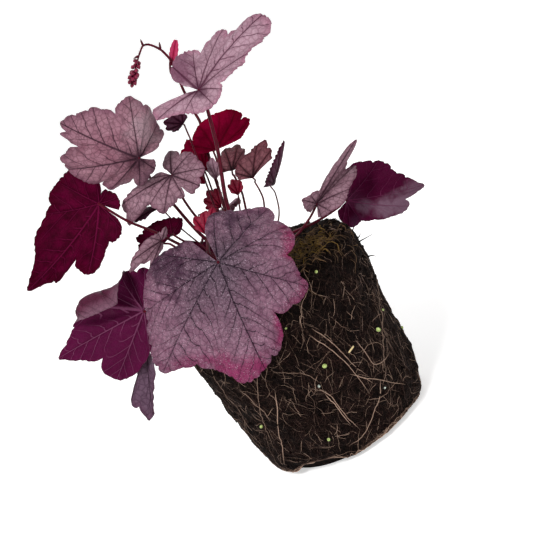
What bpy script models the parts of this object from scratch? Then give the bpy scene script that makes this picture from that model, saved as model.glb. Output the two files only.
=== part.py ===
"""A young heuchera knocked out of its nursery pot: bare root ball, woody crown,
twenty-five leaves on their stalks and one flower stem that nods over.

The plant stands with +Z up on the flat base of its root ball. Sizes are in
millimetres here, and the meshes are made in metres. The leaves that the picture
shows are placed as it shows them: how far right, how far up and how far toward
the viewer of the crown each hub and lobe tip lies. The leaves behind are given
in the plant's own axes from the same point.
"""
import math
from dataclasses import dataclass, field

import bpy
import numpy as np

MM = 0.001

# Root ball: the shape that a 13 cm nursery pot leaves. Each row of the profile
# is (radius, height, share of the relief), from the hole in the top to the base
BALL_HEIGHT = 115.0
BALL_PROFILE = [
    (9.35, 103.0, 0), (9.35, 115.0, 0), (18.5, 115.0, 0), (27.0, 115.0, .6),
    (37.0, 115.0, .8), (47.0, 114.6, .9), (56.0, 113.0, 1), (61.0, 108.5, 1),
    (62.2, 100.0, 1), (61.6, 90.0, 1), (60.8, 79.5, 1), (60.0, 68.5, 1),
    (59.3, 57.0, 1), (58.6, 46.0, 1), (58.0, 35.0, 1), (57.4, 24.0, 1),
    (56.2, 13.5, 1), (53.6, 3.4, .5), (50.0, 2.6, .3), (46.8, 2.4, .1), (46.0, 0.0, 0)]
BALL_SEGMENTS = 42
SOIL_ROUGHNESS = 1.15
FLUTE_DEPTH = 8.0
FLUTE_ANGLE = math.radians(-120)
FLUTE_WIDTH = math.radians(15)
SKIRT_ROW = 17
BASE_ROW = 20

# Thick roots, half sunk in the side of the ball
ROOT_COUNT = 15
ROOT_RADIUS = 1.05
ROOT_STEPS = 7
ROOT_SINK = 0.3
ROOT_SEED = 11

# Crown: a low woody dome with a stub that stands in a hole in the soil
CROWN_RADIUS = 20.0
CROWN_SEGMENTS = 22
CROWN_SINK = 10.0
CROWN_LUMPS = 0.45
STUB_RADIUS = 9.0
STUB_DEPTH = 12.0
GAP = 0.35

# Leaves
BLADE_THICKNESS = 0.65
STALK_SIDES = 5
TOOTH = 0.022
RUFFLE = 0.035
SHORT_RIM = 13.0
LONG_RIM = 32.0

# The picture's view: how high it looks from, how far the ball leans in it,
# how far away the viewer is, and the middle of the picture seen from the crown
VIEW_RISE = math.radians(16)
VIEW_LEAN = math.radians(31)
VIEW_DISTANCE = 600.0
VIEW_MIDDLE = (6.9, 1.5)

CROWN = np.array((0.0, 0.0, BALL_HEIGHT))
CROWN_SEAT = CROWN - (0.0, 0.0, CROWN_SINK)
UP_THE_VIEW = np.array((0.0, math.sin(VIEW_RISE), math.cos(VIEW_RISE)))
TOWARD = np.array((0.0, -math.cos(VIEW_RISE), math.sin(VIEW_RISE)))
RIGHT = np.array((math.cos(VIEW_LEAN), 0.0, 0.0)) - math.sin(VIEW_LEAN) * UP_THE_VIEW
UP = np.array((math.sin(VIEW_LEAN), 0.0, 0.0)) + math.cos(VIEW_LEAN) * UP_THE_VIEW

# Finishes: colour, roughness
SILVER = ((0.36, 0.23, 0.27), 0.5)
DUSKY = ((0.17, 0.02, 0.07), 0.55)
CRIMSON = ((0.2, 0.0, 0.02), 0.5)
ROSE = ((0.42, 0.2, 0.28), 0.5)
SOIL = ((0.035, 0.022, 0.016), 0.9)
WOODY = ((0.1, 0.045, 0.03), 0.75)


@dataclass
class Leaf:
    """One leaf: its hub, the way of its stalk to the crown, and its lobes in turn.

    A lobe is (right, up, toward, cut): where its tip is and how deep the notch
    after it cuts in, as a share of the blade's reach there. Lobes run clockwise
    seen from the upper side, from one side of the slit round to the other.
    foot is where the stalk leaves the crown: its bearing and its height in degrees.
    teeth is how deep the small teeth of the rim are, against the usual depth.
    bulges moves the middle of a lobe's vein off the straight line to its tip.
    """
    name: str
    hub: tuple
    route: list
    lobes: list
    foot: tuple = (0, 60)
    stalk: float = 1.0
    arch: float = 0.06
    fine: bool = False
    finish: tuple = SILVER
    own_axes: bool = False
    teeth: float = 1.0
    bulges: dict = field(default_factory=dict)


LEAVES = [
    Leaf("leaf_front", (-22, 4, 64),
         [(-28, 9, 57), (-26, 20, 38), (-10, 20, 14)],
         [(-30, 21.6, 54, 0), (-24.6, 33.6, 44, .02), (-10.2, 34.8, 40, .02), (7.8, 36.6, 40, .09),
          (19.2, 25.8, 50, 0), (24, 18, 56, .12), (25.2, 0.6, 62, .04), (31.8, -10.2, 62, 0),
          (27.6, -18.6, 62, .02), (19.8, -24.6, 62, .15), (16.8, -39, 61, 0), (15, -48.6, 60, .05),
          (6, -60, 54, 0), (-6.6, -68.4, 47, .02), (-18.6, -62.4, 46, 0), (-26.4, -60, 46, .05),
          (-44.4, -59.4, 43, 0), (-55.2, -62.4, 40, .02), (-61.2, -55.8, 40, .04),
          (-64.2, -39, 42, .03), (-65.4, -25.8, 44, 0), (-66.6, -12.6, 45, .02), (-63.6, 0, 46, 0),
          (-57, 8.4, 50, .01), (-47.4, 13.2, 54, 0), (-37.8, 16.8, 57, 0)],
         foot=(-80, 72), stalk=1.5, arch=.08, fine=True, finish=ROSE, teeth=.8),
    Leaf("leaf_low_left", (-66.6, -25.2, 24),
         [(-60, -22, 31), (-44, -12, 30), (-18, 4, 14)],
         [(-58, -13, 24, .1), (-66, 1.2, 17.2, .1), (-76.8, -1, 11.3, .02),
          (-79.9, -4.5, 25.8, .02), (-82.6, -20.6, 34.5, .03), (-94, -26.5, 33.4, .03),
          (-101.4, -29.5, 30.7, .02), (-108.8, -33, 19, .03), (-110.8, -39.4, 16.6, .04),
          (-117.9, -53.4, 14, .02), (-109.8, -54.9, 13.5, 0), (-100.2, -55.2, 13, .14),
          (-90.6, -62.4, 12, 0), (-82.8, -66.3, 12, 0), (-73.2, -63.9, 13, .05),
          (-63, -50, 20, .05), (-58, -34, 24, 0)],
         foot=(-143, 50), stalk=1.2, arch=.03, fine=True, finish=DUSKY, teeth=.3,
         bulges={3: (-3.5, 2.6, -4), 4: (-17.7, 9, -8.5), 5: (-21.2, 8, -5.9), 6: (-20, 4, -7),
                 7: (-5.2, .8, -3.5)}),
    Leaf("leaf_hanging", (-64.5, -46, 10),
         [(-60, -36, 12), (-46, -22, 12), (-20, 0, 6)],
         [(-60.6, -55.8, 17, .02), (-61, -76, 11, .02), (-60.8, -88, 8, 0), (-64, -91, 7, .1),
          (-74.5, -81, 9, .05), (-70, -66, 5, .05), (-70.2, -53.4, 3, 0)],
         foot=(-166, 47), stalk=.9, arch=.03, teeth=.4),
    Leaf("leaf_far_left", (-93.6, 39, 12),
         [(-88, 35.5, 15), (-76, 28.5, 13), (-60, 22, 7.5), (-42, 13, 5)],
         [(-81.6, 35.4, 14, .02), (-82.2, 43.2, 12, .02), (-88.8, 47.4, 10, .5),
          (-96, 55.2, 4, .02), (-112.2, 58.8, 0, .02), (-118.2, 52.2, 1, 0),
          (-123.6, 43.8, 2, .07), (-125.4, 33, 5, 0), (-132, 18.6, 10, 0), (-131.7, 9, 12, 0),
          (-134.1, -3, 13, 0), (-136.2, -13.2, 14, .02), (-124.8, -8.7, 16, .03),
          (-118.8, -8.4, 17, 0), (-114, -3, 17, .16), (-106.8, 0, 17, 0), (-100.2, -3.6, 17, 0),
          (-91.8, 4.2, 17, 0), (-89.4, 11.4, 17, .1), (-83.4, 16.8, 17, 0), (-79.8, 23.4, 17, 0),
          (-82.2, 30, 15, 0)],
         foot=(172, 50), stalk=1.1, arch=.07, fine=True, finish=DUSKY, teeth=.3),
    Leaf("leaf_upper_left", (-69.6, 66.6, 34),
         [(-66.5, 61, 20), (-62, 53.5, 5), (-48.6, 38.4, 2), (-35.4, 23.4, 4)],
         [(-60.6, 66, 28, 0), (-60, 60, 24, .08), (-64.8, 52.8, 21, 0), (-69, 49.8, 18, .26),
          (-79.8, 50.7, 17, 0), (-87, 47.4, 17, 0), (-91.2, 50.4, 17, .15), (-97.2, 51, 19, 0),
          (-105, 54, 21, 0), (-112.2, 59.7, 25, .03), (-117, 66.6, 29, .02), (-112.2, 72, 30, .13),
          (-111.6, 76.8, 31, 0), (-117, 81, 32, .07), (-117, 87.6, 34, 0),
          (-112.2, 91.8, 34.5, .03), (-105, 93.9, 35, .03), (-96.6, 97.2, 36, .02),
          (-89.4, 96, 36, .12), (-82.2, 99, 35.5, 0), (-75.6, 103.8, 34.5, 0),
          (-69.6, 100.8, 33, .04), (-64.8, 98.4, 29, .05), (-58.8, 87.6, 12, .05),
          (-54.6, 81.6, 16, .17), (-59.1, 72, 25, 0)],
         foot=(160, 62), stalk=1.2, arch=.09, teeth=.7, fine=True),
    Leaf("leaf_top", (-33.6, 107.4, 22),
         [(-30, 101, 17), (-22.5, 72, 12), (-17.5, 42, 9), (-10, 18, 4)],
         [(-40.2, 109.2, 20, 0), (-49.8, 114.6, 13, 0), (-49.8, 121.8, 10, 0), (-44.4, 129, 8, 0),
          (-37.2, 131.4, 7, .18), (-27, 138, 8, 0), (-19.2, 144, 11, .09), (-10.2, 144.3, 16, 0),
          (-5.4, 150, 20, .02), (4.2, 153, 26, 0), (9.6, 148.8, 30, 0), (9, 142.2, 31, .04),
          (4.2, 136.8, 33, .02), (-4.2, 129.6, 34, .02), (-6.6, 123.6, 35, .02),
          (-13.8, 117.6, 35, .2), (-19.8, 108, 32, 0), (-24.6, 98.4, 30, .03),
          (-34.8, 93.3, 29, .02), (-42.6, 93.3, 29, .02), (-53.4, 90.6, 29, .01),
          (-58.8, 89.1, 29, 0), (-61.8, 94.2, 28, .02), (-50, 101, 24, 0)],
         foot=(0, 89), stalk=1.5, arch=.05, fine=True, finish=ROSE, teeth=.6),
    Leaf("leaf_under_top", (-43, 87, 4),
         [(-41, 83, 3), (-38, 76, 3), (-33, 62, 3), (-22, 32, 5)],
         [(-46, 83, 3, .1), (-49, 82, 3, .15), (-53.5, 83.5, 4, .1), (-55, 88, 5, .08),
          (-51, 93, 6, .06), (-44, 95, 7, .05), (-40.5, 91, 6, 0)],
         foot=(150, 80), stalk=.7, arch=.08),
    Leaf("leaf_red", (-24, 71.4, -6),
         [(-23.5, 67, -5), (-20, 54, -3), (-15, 32, -2)],
         [(-8.4, 78.6, -3, 0), (-5.4, 83.4, 0, .03), (-3.3, 86.4, 1, .02),
          (-3, 90, 2, 0), (-5.4, 91.2, 2, .12), (-7.8, 93.6, 1, 0), (-11.4, 95.1, 0, 0),
          (-16.2, 95.8, -4, 0), (-21.6, 93.9, -7, 0), (-28.2, 90.6, -12, 0),
          (-33.6, 86.4, -15, .02), (-37.2, 79.8, -16, .05), (-38.4, 74.4, -14, .02),
          (-37.2, 70.2, -11, 0), (-29.4, 69.6, -8, 0)],
         foot=(72, 70), stalk=.9, arch=.08, fine=True, finish=CRIMSON, teeth=.3),
    Leaf("leaf_mottled", (-30.5, 59.5, -17),
         [(-28.5, 55, -15), (-24, 42, -11), (-18, 22, -9)],
         [(-25, 56, -13, .05), (-25, 65.5, -15, .12), (-29.5, 70.5, -19, .1),
          (-35, 81, -25, .1), (-41, 77.5, -25, .06), (-45, 69, -22, .1), (-43, 58, -17, .08),
          (-37, 51, -13, .1), (-30, 51, -12, 0)],
         foot=(100, 62), stalk=.8, arch=.06, finish=CRIMSON),
    Leaf("leaf_young", (-23, 54, 4),
         [(-22, 50, 6), (-18.5, 36, 9)],
         [(-25, 54.5, 2, .05), (-28, 58, 0, .08), (-29, 64, -2, .1), (-26, 67, -3, .08),
          (-22, 63, -1, .08), (-20.5, 57, 3, 0)],
         foot=(-60, 80), stalk=.6, arch=.1),
    Leaf("leaf_inner_fan", (-20, 37, 0),
         [(-19, 33, 0), (-16, 22, 0)],
         [(-24.5, 34.5, -1, .1), (-29.5, 36, -2, .14), (-31, 41, -4, .14), (-29, 47, -5, .12),
          (-23.5, 48.5, -4.5, .12), (-20, 46, -3, 0)],
         foot=(125, 70), stalk=.6, arch=.08),
    Leaf("leaf_inner_low", (-29, 20, 22),
         [(-27, 16, 20), (-20, 10, 14)],
         [(-35, 23, 20, .1), (-37, 31, 16, .12), (-31, 34.5, 13, .1), (-25, 37.5, 11, .1),
          (-21.5, 33, 14, .1), (-23, 25, 20, 0)],
         foot=(-120, 68), stalk=.7, arch=.08, finish=CRIMSON),
    Leaf("leaf_inner_right", (-10, 44, 1),
         [(-9.5, 39, 1), (-7, 24, 1)],
         [(-14, 45.5, 0, .1), (-16.5, 50, -2, .12), (-14, 54, -4, .1), (-9, 53.5, -4, .1),
          (-7, 48, -1, 0)],
         foot=(40, 76), stalk=.7, arch=.1, finish=CRIMSON),
    Leaf("leaf_round", (-13.8, 58.8, -3),
         [(-12.5, 56, -5), (-7.5, 45, -8), (-3, 24, -7)],
         [(-18.5, 58, -4, .05), (-21.5, 65.5, -6, .06), (-18.5, 72, -10, .1),
          (-10, 75, -12, .08), (-6, 72, -11, .08), (-6.5, 66.5, -8, .05), (-9, 60.5, -5, 0)],
         foot=(48, 62), stalk=.9, arch=.1, teeth=.5),
    Leaf("leaf_fan", (-1.2, 54.6, 12),
         [(0, 52, 8), (5, 42, 2), (6, 26, 0)],
         [(-9, 53.1, 10, .05), (-12, 57.6, 8, .02), (-10.2, 63.6, 7, .02), (-3.6, 69.6, 8, 0),
          (1.8, 75, 10, .02), (6.6, 77.5, 13, .12), (10, 71.6, 17, .04),
          (10.2, 66, 18, 0)],
         foot=(10, 60), stalk=.7, arch=.06, teeth=.4),
    Leaf("leaf_centre", (-49.8, 56.4, 18),
         [(-48.5, 53, 12), (-43, 42, 7), (-35.5, 31.5, 3), (-22.5, 17, -2)],
         [(-55, 61, 15, .1), (-50.5, 71, 8, .2), (-38, 70, 14, .06), (-30, 60.5, 20, .1),
          (-33, 50, 20, .05), (-37, 45, 19, .42), (-42.5, 43, 20, .08), (-49, 38, 20, .06),
          (-54.5, 33, 18, .05), (-63, 38.5, 14, .3), (-75.5, 26, 5, .06),
          (-80, 38.5, 7, .05), (-74, 47, 11, .04), (-63, 54, 14, .03), (-57, 58, 16, 0)],
         foot=(150, 72), stalk=1.0, arch=.08, fine=True, teeth=.6, bulges={10: (-4, 1, 2)}),
    Leaf("leaf_dark_middle", (-50, 20, 4),
         [(-45, 18, 6), (-36, 13, 2), (-22, 5, -5)],
         [(-46, 21, 3, .04), (-43.5, 26, 0, .05), (-44, 30.5, -3, .04), (-51.5, 30.5, -5, .05),
          (-60.5, 28, -5, .05), (-66.5, 24, -4, .08), (-71.5, 18.5, -2, .08),
          (-70, 12, 2, .05), (-60, 11.5, 4, 0)],
         foot=(152, 50), stalk=.9, arch=.05, teeth=.5, finish=DUSKY),
    Leaf("leaf_folded", (-58, 36, 2),
         [(-54, 34, -7), (-44, 24, -13), (-24, 8, -10)],
         [(-66, 30, 3, .05), (-72.5, 28, 1, .05), (-69.5, 33.5, -1, .04),
          (-62, 37.5, -1, 0)],
         foot=(136, 47), stalk=.6, arch=.08, finish=DUSKY),
    Leaf("leaf_small_silver", (-55.8, 16.8, 14),
         [(-51, 15, 12), (-44, 11, 13), (-22, 4, 6)],
         [(-55, 13.5, 15, .03), (-57.5, 9, 18, .06), (-62.5, 0.5, 22, .2), (-67, 3, 22, .15),
          (-75, -2, 24, .04), (-74.5, 4, 22, .05), (-70, 11.5, 18, .04), (-64, 18.5, 14, .06),
          (-58.5, 21.5, 11, .3), (-53.5, 25.5, 8, .1), (-53, 19.5, 11, 0)],
         foot=(178, 62), stalk=.9, arch=.07, teeth=.5),
    Leaf("leaf_right_silver", (37, 39, -6),
         [(32.5, 30, -5), (24, 19.5, 1), (12, 15, 8)],
         [(33, 34, -4, .02), (29, 38, 0, .05), (28, 41.5, 0, .05), (33, 44.5, -2, .05),
          (38.5, 47, -6, .1), (43.2, 56.1, -5.2, .1), (60.8, 78.1, -1.5, .2),
          (54.4, 61, -9.5, .08), (60, 62.2, -11.4, .04), (61, 57.5, -3, .04),
          (56.5, 48, 0, .04), (54.5, 41, 1, .04),
          (45.5, 34.5, 0, .04), (38, 31, -2, 0)],
         foot=(-18, 44), stalk=1.0, arch=.06, teeth=.3, fine=True),
    Leaf("leaf_right_dark", (55, 41, -20),
         [(50, 37, -13), (36, 28, -8), (14, 18, -4)],
         [(50, 35.7, -20, 0), (52.5, 28.2, -20, 0), (57, 24.9, -20, 0), (63.6, 28.5, -17, .08),
          (84.6, 32.1, -11, 0), (92.4, 37.5, -8, .12), (97.8, 46.5, -8, 0),
          (101.7, 50.4, -8, .02), (93.6, 54.2, -12, .03),
          (88.8, 57, -15, .02), (83.4, 59.1, -18, .02), (81, 62.4, -20, .02),
          (74.4, 65.1, -24, .05), (68.4, 65.1, -26, .03), (61.2, 64.2, -29, 0),
          (51.9, 55.2, -29, .02), (48.9, 45, -25, 0)],
         foot=(10, 37), stalk=1.1, arch=.07, fine=True, finish=DUSKY, teeth=.4),
    Leaf("leaf_narrow", (11, 50.5, -16),
         [(12, 46, -14), (14.5, 34, -10), (12, 20, -6)],
         [(5.4, 48.9, -7, 0), (6.6, 53.4, -8, 0), (8.7, 58.8, -10, 0), (11.4, 65.4, -13, 0),
          (14.4, 72, -18, 0), (17.4, 77.1, -24, 0), (15.9, 72.6, -27, 0), (13.2, 66.9, -29, 0),
          (11.7, 61.2, -29, 0), (11.7, 51, -22, 0)],
         foot=(33, 43), stalk=.6, arch=.04, teeth=.2, finish=DUSKY),
    Leaf("leaf_back_left", (-22, 58, 18),
         [(-18, 48, 22), (-10, 24, 14)],
         [(-30, 60, 24, .04), (-44, 58, 18, .1), (-54, 60, 2, .12), (-52, 68, -20, .12),
          (-36, 75, -36, .12), (-20, 78, -40, .12), (-7, 75, -30, .12), (-4, 68, -12, .08),
          (-8, 63, 6, .05), (-15, 60, 14, 0)],
         foot=(114, 42), stalk=1.2, arch=.08, own_axes=True),
    Leaf("leaf_back_right", (19, 63, 0),
         [(16, 50, 7), (9, 26, 10)],
         [(14, 66, 4, .05), (4, 69, 0, .1), (0, 72, -18, .12), (8, 76, -40, .12),
          (24, 76, -50, .12), (38, 68, -42, .12), (45, 64, -24, .1), (38, 64, -10, .08),
          (28, 64, -2, 0)],
         foot=(68, 38), stalk=1.1, arch=.08, finish=ROSE, own_axes=True),
    Leaf("leaf_back_middle", (2, 42, 30),
         [(1, 34, 30), (0, 18, 16)],
         [(-6, 42, 34, .05), (-14, 50, 36, .12), (-14, 62, 30, .12), (-6, 72, 24, .12),
          (6, 73, 22, .12), (14, 64, 26, .12), (14, 50, 32, .1), (8, 43, 32, 0)],
         foot=(90, 50), stalk=1.0, arch=.1, finish=ROSE, own_axes=True),
]

# Flower stem: its way from the crown, as the picture shows it, and what grows on it
SCAPE_ROUTE = [(-13, 22, -4), (-25, 58, -10), (-33, 88, -20), (-36, 93.5, -20), (-43, 107.5, -10),
               (-49.5, 123.5, -2), (-51.5, 126.5, -1), (-56.5, 131.5, 0), (-63, 134.5, 1),
               (-67, 134, 2), (-69, 130, 3), (-70.5, 125, 4), (-72.5, 117, 5), (-74, 111, 6)]
SCAPE_FOOT = (95, 76)
SCAPE_RADIUS = 0.9
SCAPE_TIP_RADIUS = 0.45
BUD_COUNT = 9
BUD_RADIUS = 1.4
BUD_START = 11
BRACTS = [((-67, 133.7, 2), (-68.8, 138, 2.5)), ((-56.5, 131.5, 0), (-57.5, 136.5, 1)),
          ((-69.5, 128, 3.5), (-73, 126, 4.5)), ((-51, 125, -2), (-51, 117, -1))]
BRACT_RADII = (0.45, 0.85, 0.12)
STEM_LEAF_BASE = (-50, 122, -3)
STEM_LEAF_TIP = (-47.5, 137.5, -1)
STEM_LEAF_WIDTH = 5.2


def seen(place):
    """A place as the picture shows it, in the plant's own frame.

    Right and up are read against a ruler at the crown, so what is nearer to the
    viewer is smaller than it looks by its share of the viewing distance.
    """
    right, up, toward = place
    share = (VIEW_DISTANCE - toward) / VIEW_DISTANCE
    right = VIEW_MIDDLE[0] + (right - VIEW_MIDDLE[0]) * share
    up = VIEW_MIDDLE[1] + (up - VIEW_MIDDLE[1]) * share
    return CROWN + right * RIGHT + up * UP + toward * TOWARD


def placed(leaf, place):
    """A leaf's point in the plant's frame, from the picture or from its own axes."""
    if leaf.own_axes:
        return CROWN + np.array(place, float)
    return seen(place)


def unit(vectors):
    """Vectors scaled to length one."""
    return vectors / np.linalg.norm(vectors, axis=-1, keepdims=True)


def smooth_through(points, s):
    """A smooth curve through the points, read at s, which counts them from 0.

    It is a cubic between each two points. Its slope at a point is the mean of the
    two chords beside it, cut down to the shorter one, so it never swings past.
    """
    points = np.asarray(points, float)
    chords = np.diff(points, axis=0)
    lengths = np.linalg.norm(chords, axis=1)
    slopes = np.vstack([chords[:1], (chords[1:] + chords[:-1]) / 2, chords[-1:]])
    allowed = np.minimum(np.append(lengths, lengths[-1]), np.insert(lengths, 0, lengths[0]))
    steepness = np.maximum(np.linalg.norm(slopes, axis=1), 1e-9)
    slopes *= np.minimum(1, allowed / steepness)[:, None]
    start = np.clip(np.floor(s).astype(int), 0, len(points) - 2)
    x = (s - start)[:, None]
    return (points[start] * (2 * x ** 3 - 3 * x ** 2 + 1) + slopes[start] * (x ** 3 - 2 * x ** 2 + x)
            + points[start + 1] * (3 * x ** 2 - 2 * x ** 3) + slopes[start + 1] * (x ** 3 - x ** 2))


def rim_teeth(tips):
    """How many round teeth each stretch of rim has: an odd number, by its length."""
    chords = np.linalg.norm(np.diff(tips, axis=0), axis=1)
    return np.where(chords < SHORT_RIM, 1, np.where(chords < LONG_RIM, 3, 5))


def rim_places(tips):
    """Where the rim has its points: on each tooth and in each dip."""
    places = [k + np.arange(2 * n) / (2 * n) for k, n in enumerate(rim_teeth(tips))]
    return np.concatenate(places + [[len(tips) - 1]])


def inner_places(tips):
    """Where the rings inside the rim have their points: at each tip and halfway between."""
    return np.arange(2 * len(tips) - 1) / 2


def blade_points(leaf, s, d):
    """Points on the blade's middle sheet.

    s counts the lobes round the rim and d runs from 0 at the hub to 1 at the rim.
    A point is the rim's vector times d, plus the vein's bulge times 4d(1 - d),
    plus a slow wave of the rim. The rim's vector turns smoothly from tip to tip,
    is cut in at each notch by a power of the distance from the tips, and carries
    small round teeth that fade inwards.
    """
    hub = placed(leaf, leaf.hub)
    tips = np.array([placed(leaf, lobe[:3]) for lobe in leaf.lobes]) - hub
    cuts = np.array([lobe[3] for lobe in leaf.lobes])
    reach = np.linalg.norm(tips, axis=1)
    upper = unit(np.cross(tips[1:], tips[:-1]).sum(axis=0))
    bulges = leaf.arch * reach[:, None] * upper
    for lobe, (right, up, toward) in leaf.bulges.items():
        bulges[lobe] = right * RIGHT + up * UP + toward * TOWARD
    start = np.clip(np.floor(s).astype(int), 0, len(tips) - 2)
    x = s - start
    notch = 1 - cuts[start] * (2 * np.minimum(x, 1 - x)) ** 2.2
    teeth = rim_teeth(tips)[start]
    scallop = TOOTH * leaf.teeth * np.sin(teeth * math.pi * x) ** 2
    size = smooth_through(reach[:, None], s)[:, 0] * notch
    vectors = unit(smooth_through(tips / reach[:, None], s)) * size[:, None]
    wave = -RUFFLE * np.cos(2 * math.pi * s) * size * d ** 3
    points = vectors * (d * (1 - scallop * d ** 2))[:, None]
    points += smooth_through(bulges, s) * (4 * d * (1 - d))[:, None]
    return hub + points + wave[:, None] * upper, upper


def strip(first, second, first_s, second_s):
    """Triangles between two rows of points that run side by side."""
    triangles = []
    i = j = 0
    while i < len(first) - 1 or j < len(second) - 1:
        step_first = j == len(second) - 1 or (
            i < len(first) - 1 and first_s[i + 1] < second_s[j + 1] - 1e-9)
        if step_first:
            triangles.append((first[i], second[j], first[i + 1]))
            i += 1
        else:
            triangles.append((first[i], second[j], second[j + 1]))
            j += 1
    return triangles


def blade_mesh(leaf):
    """The blade as a closed sheet: the middle sheet's triangles on both faces."""
    hub = placed(leaf, leaf.hub)
    tips = np.array([placed(leaf, lobe[:3]) for lobe in leaf.lobes])
    rim_s = rim_places(tips)
    inner_s = inner_places(tips)
    rings = [(inner_s, 0.34), (inner_s, 0.68), (rim_s, 1.0)]
    if not leaf.fine:
        rings = [(inner_s, 0.5), (rim_s, 1.0)]
    points = [hub[None]]
    triangles = []
    last = None
    count = 1
    for s, depth in rings:
        ring, upper = blade_points(leaf, s, np.full(len(s), depth))
        index = list(range(count, count + len(s)))
        if last is None:
            triangles += [(0, index[k], index[k + 1]) for k in range(len(index) - 1)]
        else:
            triangles += strip(last[0], index, last[1], s)
        points.append(ring)
        last = (index, s)
        count += len(s)
    return sheet_to_solid(np.vstack(points), triangles, upper, BLADE_THICKNESS), upper


def sheet_to_solid(points, triangles, upper, thickness):
    """Both faces of a sheet, alike, and a wall round its edge."""
    triangles = np.array(triangles)
    across = points[triangles[:, 1]] - points[triangles[:, 0]]
    along = points[triangles[:, 2]] - points[triangles[:, 0]]
    flat = np.cross(across, along)
    if (flat @ upper).sum() < 0:
        triangles = triangles[:, ::-1]
        flat = -flat
    normals = np.zeros_like(points)
    for corner in range(3):
        np.add.at(normals, triangles[:, corner], flat)
    normals = unit(normals) * thickness / 2
    ours = {edge for a, b, c in triangles.tolist() for edge in ((a, b), (b, c), (c, a))}
    border = [edge for edge in ours if edge[::-1] not in ours]
    count = len(points)
    faces = [tuple(t) for t in triangles.tolist()]
    faces += [(c + count, b + count, a + count) for a, b, c in triangles.tolist()]
    for a, b in sorted(border):
        faces.append((b, a, a + count))
        faces.append((b, a + count, b + count))
    return np.vstack([points + normals, points - normals]), faces


def tube_mesh(centres, radii, sides):
    """A tube along the centres, with flat ends, its rings turned with the curve."""
    centres = np.asarray(centres, float)
    heading = unit(np.gradient(centres, axis=0))
    side = unit(np.cross(heading[0], (0.31, 0.92, 0.24)))
    angles = np.arange(sides) * 2 * math.pi / sides
    rings = []
    for centre, ahead, radius in zip(centres, heading, radii):
        side = unit(side - ahead * (side @ ahead))
        other = np.cross(ahead, side)
        ring = np.cos(angles)[:, None] * side + np.sin(angles)[:, None] * other
        rings.append(centre + radius * ring)
    faces = []
    for k in range(len(centres) - 1):
        for j in range(sides):
            a = k * sides + j
            b = k * sides + (j + 1) % sides
            faces.append((a, b, b + sides))
            faces.append((a, b + sides, a + sides))
    last = (len(centres) - 1) * sides
    faces += [(0, j + 1, j) for j in range(1, sides - 1)]
    faces += [(last, last + j, last + j + 1) for j in range(1, sides - 1)]
    return np.vstack(rings), faces


def crown_foot(place):
    """The point just off the dome at a bearing and a height, and the way out there."""
    bearing, height = math.radians(place[0]), math.radians(place[1])
    outward = np.array((math.cos(height) * math.cos(bearing),
                        math.cos(height) * math.sin(bearing), math.sin(height)))
    return CROWN_SEAT + (CROWN_RADIUS + GAP) * outward, outward


def stalk_route(leaf, upper):
    """The stalk's centre line: off the crown's dome, along its way, up into the hub."""
    hub = placed(leaf, leaf.hub)
    way = [placed(leaf, place) for place in leaf.route]
    foot, outward = crown_foot(leaf.foot)
    shoulder = foot + 4 * outward
    top = hub + upper * 0.8
    neck = hub - upper * 2.2 + 1.2 * unit(way[0] - hub)
    return [foot, shoulder] + way[::-1] + [neck, top]


def stalk_mesh(leaf, upper):
    """The stalk as a tube that is thickest at the crown."""
    route = stalk_route(leaf, upper)
    steps = np.concatenate([np.linspace(0, len(route) - 2, 2 * len(route) - 3), [len(route) - 1]])
    centres = smooth_through(route, steps)
    radii = leaf.stalk * np.interp(np.linspace(0, 1, len(centres)), (0, .3, 1), (1.25, 1, .8))
    return tube_mesh(centres, radii, STALK_SIDES)


def new_material(name, finish):
    """A Principled material of one colour and roughness."""
    colour, roughness = finish
    material = bpy.data.materials.new(name)
    material.use_nodes = True
    shader = material.node_tree.nodes["Principled BSDF"]
    shader.inputs["Base Color"].default_value = (*colour, 1)
    shader.inputs["Roughness"].default_value = roughness
    shader.inputs["Metallic"].default_value = 0
    return material


def new_object(name, mesh_data, origin):
    """An object in metres whose own origin is at the given point."""
    points, faces = mesh_data
    mesh = bpy.data.meshes.new(name)
    mesh.from_pydata(((points - origin) * MM).tolist(), [], faces)
    mesh.update()
    thing = bpy.data.objects.new(name, mesh)
    thing.location = origin * MM
    bpy.context.scene.collection.objects.link(thing)
    return thing


def fused(name, pieces, origin, finish):
    """One closed solid from overlapping pieces: a single Boolean union, applied."""
    base = new_object(name, pieces[0], origin)
    base.data.materials.append(new_material(name, finish))
    if len(pieces) > 1:
        helpers = bpy.data.collections.new(name + "_pieces")
        bpy.context.scene.collection.children.link(helpers)
        for piece in pieces[1:]:
            helper = new_object(name + "_piece", piece, origin)
            bpy.context.scene.collection.objects.unlink(helper)
            helpers.objects.link(helper)
        union = base.modifiers.new("union", "BOOLEAN")
        union.operation = "UNION"
        union.operand_type = "COLLECTION"
        union.collection = helpers
        union.solver = "EXACT"
        bpy.context.view_layer.update()
        view = bpy.context.evaluated_depsgraph_get()
        joined = bpy.data.meshes.new_from_object(base.evaluated_get(view))
        base.modifiers.clear()
        base.data = joined
        for helper in list(helpers.objects):
            bpy.data.objects.remove(helper)
        bpy.data.collections.remove(helpers)
    base.data.shade_smooth()
    base.data.set_sharp_from_angle(angle=math.radians(50))
    return base


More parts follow.
